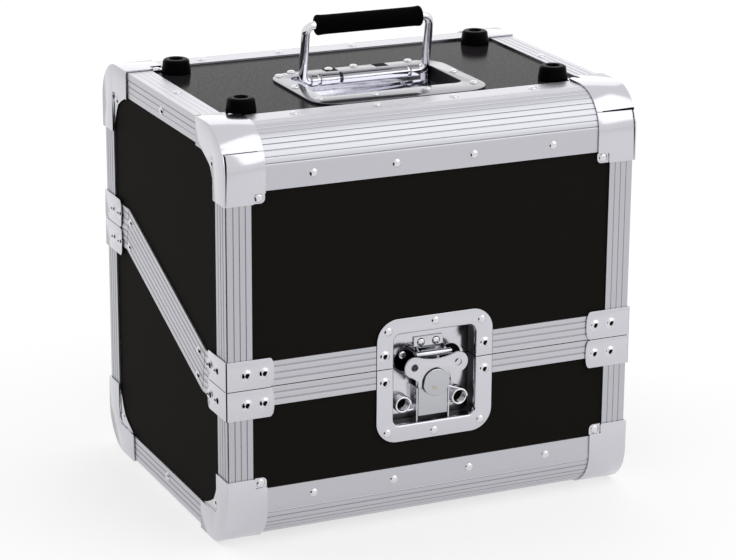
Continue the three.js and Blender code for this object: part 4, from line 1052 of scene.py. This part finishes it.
# %% Rivets on the hinge
hinge_low, hinge_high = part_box("hinge_lid_leaf")
HINGE_COUNT = 9
HINGE_RIVET = 11 * MM
HINGE_END = 12 * MM
hinge_face = BACK + SHEET_FACE
step = (hinge_high.x - hinge_low.x - 2 * HINGE_END) / (HINGE_COUNT - 1)
for body, (_, into_z, _, _) in halves.items():
    height = SPLIT_BACK - into_z * HINGE_RIVET
    places = [(hinge_low.x + HINGE_END + i * step, hinge_face, height, TO_BACK)
              for i in range(HINGE_COUNT)]
    rivets(f"{body}_hinge_rivets", body, "zinc", "flat", places)

# %% [markdown]
# ## Turned pieces
#
# Feet, grip, the latch's disc and its bearing are bodies of revolution, as they come from a
# lathe or a mould. The half outline is a list of radius and height in millimetres. It starts
# and ends on the axis or closes on itself, so each piece is one solid.

# %% Turning helpers
TURN_STEPS = 64
UP_TO_FRONT = Matrix.Rotation(math.pi / 2, 4, "X")
UP_TO_RIGHT = Matrix.Rotation(math.pi / 2, 4, "Y")


def turned_piece(name, outline, finish, matrix, steps=TURN_STEPS):
    count = len(outline)
    points, quads = [], []
    for i in range(steps):
        angle = 2 * math.pi * i / steps
        points += [(r * math.cos(angle) * MM, r * math.sin(angle) * MM, h * MM) for r, h in outline]
        start, after = i * count, (i + 1) % steps * count
        quads += [(start + k, after + k, after + k + 1, start + k + 1) for k in range(count - 1)]
    mesh = bpy.data.meshes.new(name)
    mesh.from_pydata(points, [], quads)
    mesh.materials.append(finish)
    return smoothed(outward(object_from(name, mesh), matrix))


def arc(centre, radius, start, stop, steps=8):
    """Points on an arc between two angles in degrees."""
    angles = [math.radians(start + (stop - start) * i / steps) for i in range(steps + 1)]
    return [(centre[0] + radius * math.cos(a), centre[1] + radius * math.sin(a)) for a in angles]


print("turning helpers ready")

# %% Feet
# Moulded rubber with a round shoulder, a soft lip round the well and a screw at its bottom
FOOT_OUTLINE = [
    (0, 0), (12.3, 0), (12.6, 0.3), (12.6, 1.2), *arc((8.8, 9.4), 2.6, 0, 90),
    (6.6, 12), *arc((6.4, 11.4), 0.6, 90, 170, 4), (4.0, 6.6), (3.8, 6), (0, 6)]
SCREW_OUTLINE = [(0, 6.02), (3.3, 6.02), (3.3, 6.8), *arc((2.5, 6.8), 0.8, 0, 80, 4), (0, 7.7)]
for face_name in faces:
    for side_name in sides:
        node = f"lid_{face_name}_{side_name}_foot"
        low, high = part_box(node)
        at = Matrix.Translation(((low.x + high.x) / 2, (low.y + high.y) / 2, low.z))
        foot = turned_piece(node.replace("foot", "rubber_foot"), FOOT_OUTLINE, rubber, at)
        finish_piece(foot, "lid", "rubber", node)
        screw = turned_piece(node.replace("foot", "foot_screw"), SCREW_OUTLINE, warm_steel, at, 32)
        finish_piece(screw, "lid", "zinc")
print("feet: 4")

# %% [markdown]
# ## The handle
#
# The bail is a chromed rod, bent twice, whose ends turn into the barrel of the plate. A tree
# for bent rods rounds the corners of a given line and sweeps a circle along it. The grip
# is a foam sleeve: a turned shape, a little fuller at its ends where the foam was cut.

# %% A tree for bent rods
rod_tree, sizes, end = geometry_tree("bent rod", {
    "Rod radius": (LENGTH, 3.75 * MM),
    "Bend radius": (LENGTH, 7 * MM),
    "Bend steps": (COUNT, 10),
    "Facets": (COUNT, 24),
    "Finish": (FINISH, None),
})
path = add(rod_tree, "GeometryNodeMeshToCurve", {"Mesh": sizes["Geometry"]})
bends = add(rod_tree, "GeometryNodeFilletCurve",
            {"Curve": path, "Count": sizes["Bend steps"], "Radius": sizes["Bend radius"],
             "Limit Radius": True}, mode="POLY")
section = add(rod_tree, "GeometryNodeCurvePrimitiveCircle",
              {"Resolution": sizes["Facets"], "Radius": sizes["Rod radius"]})
rod = add(rod_tree, "GeometryNodeCurveToMesh",
          {"Curve": bends, "Profile Curve": section, "Fill Caps": True})
end_tree(rod_tree, end, rod, sizes["Finish"])


def bent_rod(name, points, finish, **values):
    edges = [(i, i + 1) for i in range(len(points) - 1)]
    source = outline_object(name, points, edges)
    return smoothed(outward(grown(name, source, rod_tree, {"Finish": finish, **values})))


# %% The bail
# At rest the bail leans back a little, as photographed
BAIL_LEAN = math.radians(9)
BAIL_HALF, BAIL_REACH, BAIL_END = 57.5, 50, 30
swing = Matrix.Translation(handle_axis) @ Matrix.Rotation(BAIL_LEAN, 4, "X")
stops = [(BAIL_END, 0), (BAIL_HALF, 0), (BAIL_HALF, BAIL_REACH),
         (-BAIL_HALF, BAIL_REACH), (-BAIL_HALF, 0), (-BAIL_END, 0)]
bail_line = [swing @ Vector((x * MM, 0, z * MM)) for x, z in stops]
bail = bent_rod("handle_bail_rod", bail_line, chrome_rod, **{"Bend steps": 14, "Facets": 32})
finish_piece(bail, "handle", "chrome", "handle_bail")

# %% The grip
GRIP_END = 48
grip_half = [(8.3, 38), (8.4, 43), (8.7, 46), *arc((7.7, 47), 1.0, 0, 90, 6), (4.05, GRIP_END)]
grip_outline = [(r, -h) for r, h in reversed(grip_half)] + grip_half
grip_outline.append(grip_outline[0])
grip_at = swing @ Matrix.Translation((0, 0, BAIL_REACH * MM)) @ UP_TO_RIGHT
grip = turned_piece("handle_foam_grip", grip_outline, foam_grip, grip_at)
finish_piece(grip, "handle", "rubber", "handle_grip")
print("handle ready")

# %% [markdown]
# ## The dishes of the latch
#
# Each half of the latch tub is drawn from one steel sheet: a flat flange, a mouth rolled over a
# round punch, an upright wall and a floor with half of two round windows. The flange and floor
# are outlines given a thickness and rounded edges. The mouth and wall are a loft: the same
# outline repeated at growing depth. The wall is painted nearly black as shade, the rest is bright.

# %% Outline helpers
def rounded(corners, steps=12):
    """An open outline in mm through (x, y, radius) corners. Its ends have no radius."""
    points = []
    for i, (x, y, radius) in enumerate(corners):
        if not radius:
            points.append((x, y))
            continue
        here = Vector((x, y))
        back = (Vector(corners[i - 1][:2]) - here).normalized()
        onward = (Vector(corners[i + 1][:2]) - here).normalized()
        half = back.angle(onward) / 2
        centre = here + (back + onward).normalized() * radius / math.sin(half)
        first = here + back * radius / math.tan(half) - centre
        last = here + onward * radius / math.tan(half) - centre
        start = math.atan2(first.y, first.x)
        sweep = (math.atan2(last.y, last.x) - start + math.pi) % (2 * math.pi) - math.pi
        for k in range(steps + 1):
            angle = start + sweep * k / steps
            points.append((centre.x + radius * math.cos(angle),
                           centre.y + radius * math.sin(angle)))
    return points


def latch_place(across, up, depth):
    return Vector((LATCH_X + across * MM, latch_face + depth * MM, SPLIT_FRONT + up * MM))


def pressed_sheet(name, outline, depth, thickness, edge, finish):
    """A flat sheet with rounded edges on the latch, from its outline in mm."""
    data = bpy.data.curves.new(name, "CURVE")
    data.dimensions = "2D"
    data.fill_mode = "BOTH"
    data.extrude = (thickness / 2 - edge) * MM
    data.bevel_depth = edge * MM
    data.bevel_resolution = 2
    data.offset = -edge * MM
    line = data.splines.new("POLY")
    line.points.add(len(outline) - 1)
    for point, (x, y) in zip(line.points, outline):
        point.co = (x * MM, y * MM, 0, 1)
    line.use_cyclic_u = True
    data.materials.append(finish)
    piece = baked(object_from(name + "_source", data), name)
    middle = Matrix.Translation(latch_place(0, 0, depth + thickness / 2))
    return smoothed(outward(piece, middle @ UP_TO_FRONT))


def lofted(name, lines, finish):
    """A skin through open lines of equally many points, closed at both ends."""
    count = len(lines[0])
    mesh = bpy.data.meshes.new(name)
    quads = [(r * count + i, r * count + i + 1, (r + 1) * count + i + 1, (r + 1) * count + i)
             for r in range(len(lines) - 1) for i in range(count - 1)]
    mesh.from_pydata([tuple(point) for line in lines for point in line], [], quads)
    mesh.materials.append(finish)
    with editing(mesh) as work:
        merge_doubles(work)
        bmesh.ops.holes_fill(work, edges=work.edges, sides=0)
    return smoothed(outward(object_from(name, mesh)))


print("outline helpers ready")

# %% Latch dishes
# In mm. The mouth turns into the wall at WALL_START and reaches into the flange by MOUTH_LAP
FLANGE_HALF, FLANGE_CORNER, FLANGE_THICK = 53.2, 19, 2
MOUTH_HALF, MOUTH_CORNER, MOUTH_ROLL, MOUTH_LAP = 37.5, 6, 2, 0.6
DISH_DEPTH, DISH_SHEET, WALL_START = 15, 1.2, 3.5
WINDOW_PLACE, WINDOW_RADIUS, GAP = 21, 9.5, 0.3
DISH_BOTTOM, MOUTH_OUTER = DISH_DEPTH + DISH_SHEET, MOUTH_ROLL + MOUTH_LAP
LIP_TOP, LIP_UNDER = 0.02, 1.6
FLANGE_EDGE, FLOOR_EDGE, FLOOR_GROW = 0.35, 0.3, 0.02
roll = [(MOUTH_ROLL - MOUTH_ROLL * math.sin(math.radians(a)),
         MOUTH_ROLL * (1 - math.cos(math.radians(a)))) for a in range(0, 91, 15)]
# Sections of mouth and wall as (outwards from the mouth, depth)
LIP = [(MOUTH_OUTER, LIP_TOP), *roll, (0, WALL_START), (DISH_SHEET, WALL_START), (DISH_SHEET, 2),
       (MOUTH_OUTER, LIP_UNDER), (MOUTH_OUTER, LIP_TOP)]
WALL = [(0, WALL_START), (0, DISH_BOTTOM), (DISH_SHEET, DISH_BOTTOM), (DISH_SHEET, WALL_START),
        (0, WALL_START)]


def half_outline(sign, half, far, radius):
    """From the split round two corners and back to the split, on the upper or lower side."""
    return rounded([(-half, sign * GAP, 0), (-half, far, radius), (half, far, radius),
                    (half, sign * GAP, 0)])


def mouth_line(sign, reach, grow):
    return half_outline(sign, MOUTH_HALF + grow, sign * (reach + grow), MOUTH_CORNER + grow)


def window_notch(sign, middle):
    start = math.degrees(math.asin(GAP / WINDOW_RADIUS))
    points = arc((middle, 0), WINDOW_RADIUS, start, 180 - start, 28)
    return [(x, sign * y) for x, y in points]


def latch_dish(node, body, sign, flange_reach, mouth_reach):
    opening = mouth_line(sign, mouth_reach, MOUTH_ROLL)
    outer = half_outline(sign, FLANGE_HALF, sign * flange_reach, FLANGE_CORNER)
    flange = pressed_sheet(
        node + "_flange", outer + opening[::-1], 0, FLANGE_THICK, FLANGE_EDGE, bright_plate)
    skins = []
    for part, section, finish in (("mouth", LIP, bright_plate), ("wall", WALL, shade_dark_steel)):
        lines = [[latch_place(x, y, depth) for x, y in mouth_line(sign, mouth_reach, grow)]
                 for grow, depth in section]
        skins.append(lofted(f"{node}_{part}", lines, finish))
    notches = window_notch(sign, WINDOW_PLACE) + window_notch(sign, -WINDOW_PLACE)
    floor_line = mouth_line(sign, mouth_reach, FLOOR_GROW) + notches
    floor_sheet = pressed_sheet(
        node + "_floor", floor_line, DISH_DEPTH, DISH_SHEET, FLOOR_EDGE, bright_plate)
    finish_piece(flange, body, "chrome", node)
    for piece in (*skins, floor_sheet):
        finish_piece(piece, body, "chrome")


latch_dish("latch_upper_dish", "lid", 1, 42.5, 28.7)
latch_dish("latch_lower_dish", "base", -1, 65.5, 51)
print("latch dishes ready")

# %% [markdown]
# ## Works of the latch
#
# The lower dish carries two coil springs, the guides of the hook and the bearing of the turning
# disc. A small tree winds the springs from their radius, turns and height, and their straight
# ends are bent rods. The disc is turned, with a soft edge and the mark of its centre rivet.

# %% A tree for coil springs
SPRING_RADIUS, SPRING_WIRE, SPRING_HEIGHT = 6.5, 1.05, 8.8
coil_tree, sizes, end = geometry_tree("coil spring", {
    "Coil radius": (LENGTH, SPRING_RADIUS * MM),
    "Wire radius": (LENGTH, SPRING_WIRE * MM),
    "Turns": (LENGTH, 4.0),
    "Height": (LENGTH, SPRING_HEIGHT * MM),
    "Finish": (FINISH, None),
})
winding = add(coil_tree, "GeometryNodeCurveSpiral",
              {"Resolution": 40, "Rotations": sizes["Turns"], "Start Radius": sizes["Coil radius"],
               "End Radius": sizes["Coil radius"], "Height": sizes["Height"]})
wire = add(coil_tree, "GeometryNodeCurvePrimitiveCircle",
           {"Resolution": 14, "Radius": sizes["Wire radius"]})
coiled = add(coil_tree, "GeometryNodeCurveToMesh",
             {"Curve": winding, "Profile Curve": wire, "Fill Caps": True})
end_tree(coil_tree, end, coiled, sizes["Finish"])

# %% Springs
# In mm from the middle of the latch, from the split and from the latch's face
SPRING_PLACE, SPRING_BELOW, SPRING_FRONT = 26.1, 35.4, 6.2
# Inside each coil lies a black disc of painted shade
SHADE_CORE_DEPTH, SHADE_CORE_OUTLINE = 14.9, [(0, 0), (5.2, 0), (5.2, 1.5), (0, 1.5)]
LEG_END, LOW_RISE, HIGH_RISE, LEG_DEPTH, FOOT_DEPTH = 15.9, 0.8, 4, 7.6, 9.5


def latch_wire(name, points):
    rod = bent_rod(name, [latch_place(*point) for point in points], chrome_rod,
                   **{"Rod radius": SPRING_WIRE * MM, "Bend radius": 1.5 * MM, "Facets": 14})
    finish_piece(rod, "base", "zinc")


for side, name in ((-1, "left"), (1, "right")):
    source = outline_object(f"latch_{name}_spring", [(0, 0, 0)])
    coil = grown(f"latch_{name}_spring", source, coil_tree, {"Finish": chrome_rod})
    back = latch_place(
        side * SPRING_PLACE, -SPRING_BELOW, SPRING_FRONT + SPRING_HEIGHT - SPRING_WIRE)
    finish_piece(smoothed(outward(coil, Matrix.Translation(back) @ UP_TO_FRONT)), "base", "zinc")
    shade_core_at = latch_place(side * SPRING_PLACE, -SPRING_BELOW, SHADE_CORE_DEPTH)
    shade_core = turned_piece(f"latch_{name}_spring_shade_core", SHADE_CORE_OUTLINE, shade_black,
                        Matrix.Translation(shade_core_at) @ UP_TO_FRONT, 32)
    finish_piece(shade_core, "base", "zinc")
low_leg = -SPRING_BELOW - SPRING_RADIUS
high_leg = 2 * -SPRING_BELOW - low_leg
latch_wire("latch_left_spring_leg",
           [(-SPRING_PLACE, low_leg, LEG_DEPTH), (-LEG_END, low_leg + LOW_RISE, LEG_DEPTH)])
latch_wire("latch_right_spring_leg",
           [(SPRING_PLACE, high_leg, LEG_DEPTH), (LEG_END, high_leg + HIGH_RISE, LEG_DEPTH)])
latch_wire("latch_right_spring_foot",
           [(SPRING_PLACE, low_leg, FOOT_DEPTH), (LEG_END, low_leg + LOW_RISE, FOOT_DEPTH)])

# %% Guides and bearing
GUIDE_INNER, GUIDE_TOP, GUIDE_BOTTOM, GUIDE_FRONT, GUIDE_EDGE = 14.0, 21.5, 50.9, 3.2, 0.3
for side, name in ((-1, "left"), (1, "right")):
    mesh = bpy.data.meshes.new(f"latch_{name}_guide")
    middle = latch_place(side * (GUIDE_INNER + DISH_SHEET / 2), -(GUIDE_TOP + GUIDE_BOTTOM) / 2,
                         (GUIDE_FRONT + DISH_DEPTH) / 2)
    size = Vector((DISH_SHEET, DISH_DEPTH - GUIDE_FRONT, GUIDE_BOTTOM - GUIDE_TOP)) * MM
    with editing(mesh) as work:
        bmesh.ops.create_cube(work, size=1)
        bmesh.ops.scale(work, vec=size, verts=work.verts)
        bmesh.ops.translate(work, vec=middle, verts=work.verts)
        bmesh.ops.bevel(
            work, geom=work.edges, offset=GUIDE_EDGE * MM, segments=2, affect="EDGES")
    mesh.materials.append(bright_plate)
    finish_piece(smoothed(object_from(f"latch_{name}_guide", mesh)), "base", "chrome")
knob_low, knob_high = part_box("latch_knob")
knob_at = Matrix.Translation(((knob_low.x + knob_high.x) / 2, latch_face,
                              (knob_low.z + knob_high.z) / 2)) @ UP_TO_FRONT
bearing = turned_piece("latch_bearing", [
    (4.35, -15), (7, -15), (7, -12.5), (6.5, -12), (4.35, -12), (4.35, -15)], zinc_plate, knob_at)
finish_piece(bearing, "base", "zinc")

# %% The disc and its rivet mark
disc = turned_piece("latch_turned_disc", [
    (0, -14.7), (4, -14.7), (4, 1.2), (11.6, 1.2), *arc((11.4, 1.8), 0.6, -60, 0, 3),
    *arc((11.1, 3.1), 0.9, 0, 84, 6), (0, 4.2)], zinc_plate, knob_at)
finish_piece(disc, "latch_knob", "zinc", "latch_knob")
# A dark ring round the disc's edge is painted shade
RIM_OUTLINE = [(11.8, 1.25), (12.04, 1.3), (12.04, 3.0), (11.8, 3.05), (11.8, 1.25)]
rim = turned_piece("latch_disc_rim", RIM_OUTLINE, shade_dark_steel, knob_at)
finish_piece(rim, "latch_knob", "zinc")
mark_at = knob_at @ Matrix.Translation((-1.7 * MM, -4 * MM, 0))
mark = turned_piece("latch_disc_rivet", [
    (0, 3.9), (2.3, 3.9), (2.3, 4.28), (2.0, 4.42), (1.5, 4.3), (0, 4.36)], warm_steel, mark_at, 40)
finish_piece(mark, "latch_knob", "zinc")

# %% Behind the windows
# The rivet that holds the strap of the keeper shows in the left window, the strap in the right
dome_at = Matrix.Translation(latch_place(-22, 4.2, 18)) @ UP_TO_FRONT
DOME_OUTLINE = [(0, 0), (4, 0), (3.9, 0.5), (3.2, 1.3), (1.8, 1.8), (0, 2)]
dome = turned_piece("latch_strap_rivet", DOME_OUTLINE, bright_plate, dome_at, 40)
finish_piece(dome, "lid", "chrome")
# The strap is painted dark as shade
STRAP_OUTLINE = [(14, 1), (33, 1), (33, 12), (14, 12)]
strap = pressed_sheet("latch_keeper_strap", STRAP_OUTLINE, 17, 1, 0.2, shade_dark_steel)
finish_piece(strap, "lid", "chrome")
print("latch works ready")

# %% [markdown]
# ## Studio
#
# The photograph is a studio shot on white. The floor and the world are white to the camera and
# in reflections, and soft lamps light the case at a plain level. A black flag round the front
# left corner gives the dark crescents in the rivet heads and the dark lines along the upright
# edges. In low views from the left, the brackets and caps of that side mirror it and turn dark.

# %% Floor
FLOOR_HALF, FLOOR_GREY, FLOOR_GLOW = 6.0, 0.45, 0.62


def mirror_rays(tree):
    """One where a ray comes from the camera, a mirror or glass, and zero where it lights."""
    rays = add(tree, "ShaderNodeLightPath").outputs
    seen = maths(tree, "MAXIMUM", rays["Is Camera Ray"], rays["Is Glossy Ray"])
    return maths(tree, "MAXIMUM", seen, rays["Is Transmission Ray"])


floor_mesh = bpy.data.meshes.new("pale_floor")
floor_mesh.from_pydata([(x * FLOOR_HALF, y * FLOOR_HALF, 0.0) for x, y in (
    (-1, -1), (1, -1), (1, 1), (-1, 1))], [], [(0, 1, 2, 3)])
floor = object_from("pale_floor", floor_mesh)
floor_finish, tree, shader = new_material("white_paper_floor")
tree.nodes.remove(shader)
paper = add(tree, "ShaderNodeBsdfDiffuse", {"Color": (FLOOR_GREY, FLOOR_GREY, FLOOR_GREY, 1)})
glow = add(tree, "ShaderNodeEmission", {"Strength": FLOOR_GLOW})
lifted = add(tree, "ShaderNodeAddShader", {0: paper, 1: glow})
shown = add(tree, "ShaderNodeMixShader", {0: mirror_rays(tree), 1: paper, 2: lifted})
tree.links.new(shown.outputs[0], tree.nodes["Material Output"].inputs["Surface"])
floor_mesh.materials.append(floor_finish)
floor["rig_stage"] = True

# %% World
WHITE, WORLD_LIGHT = (1, 1, 1, 1), 0.6
world = bpy.data.worlds.new("white_studio")
scene.world = world
world.use_nodes = True
tree = world.node_tree
soft = tree.nodes["Background"]
soft.inputs["Color"].default_value = WHITE
soft.inputs["Strength"].default_value = WORLD_LIGHT
white = add(tree, "ShaderNodeBackground", {"Color": WHITE, "Strength": 1.0})
backdrop = add(tree, "ShaderNodeMixShader", {0: mirror_rays(tree), 1: soft, 2: white})
tree.links.new(backdrop.outputs[0], tree.nodes["World Output"].inputs["Surface"])
print("world: white to the camera and in mirrors")

# %% Black flag
# A sector of rings round the front left corner, given in degrees from the front towards the
# right. One part stands on the floor and one lies on it, because faces mirror the floor too
FLAG_STEPS = 10
STANDING_TURN, LYING_TURN = (-125, -22), (-122, -12)
FLAG_DISTANCE, FLAG_HEIGHT = 0.8, 0.4
FLAG_NEAR, FLAG_LIFT = 110 * MM, 0.4 * MM
felt = new_material(
    "black_felt", Roughness=1.0, Base_Color=(0, 0, 0, 1), Specular_IOR_Level=0.0)[0]


def flag(name, inner, outer):
    """Black felt between two rings of points, seen only by reflected rays."""
    count = len(inner)
    quads = [(i, i + 1, count + i + 1, count + i) for i in range(count - 1)]
    mesh = bpy.data.meshes.new(name)
    mesh.from_pydata([*inner, *outer], [], quads)
    mesh.materials.append(felt)
    card = object_from(name, mesh)
    card.visible_camera = card.visible_diffuse = False
    card.visible_shadow = card.visible_transmission = False
    card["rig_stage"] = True


def ring(radius, height, start, stop):
    turns = [math.radians(start + (stop - start) * i / FLAG_STEPS) for i in range(FLAG_STEPS + 1)]
    return [(-SIDE + radius * math.sin(a), FRONT - radius * math.cos(a), height) for a in turns]


flag("black_flag_standing", ring(FLAG_DISTANCE, 0, *STANDING_TURN),
     ring(FLAG_DISTANCE, FLAG_HEIGHT, *STANDING_TURN))
flag("black_flag_lying", ring(FLAG_NEAR, FLAG_LIFT, *LYING_TURN),
     ring(FLAG_DISTANCE, FLAG_LIFT, *LYING_TURN))
print("black flag ready")

# %% Lamps
LAMP_AIM = Vector((0, 0, 0.18))


def lamp(name, location, size, power, mirrored=True):
    """A soft lamp that looks at the middle of the case. Its size is in metres."""
    data = bpy.data.lights.new(name, "AREA")
    data.shape = "RECTANGLE"
    data.size, data.size_y = size
    data.energy = power
    light = bpy.data.objects.new(name, data)
    light.location = location
    reach = LAMP_AIM - Vector(location)
    light.rotation_euler = reach.to_track_quat("-Z", "Y").to_euler()
    light.visible_glossy = mirrored
    scene.collection.objects.link(light)


lamp("soft_key", (1.0, -1.25, 1.6), (2.2, 2.4), 12)
lamp("soft_fill", (-1.6, 0.9, 1.5), (1.2, 1.2), 5, mirrored=False)
lamp("soft_top", (0.1, 0.6, 2.3), (1.6, 1.6), 6, mirrored=False)
lamp("soft_back", (0.6, 1.8, 1.1), (2.2, 1.6), 5)
scene.view_settings.view_transform = "Standard"
print("lamps ready")

# %% Sizes and the end
low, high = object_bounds()
print("visual box in mm:", [round(v / MM, 1) for v in (high - low)])
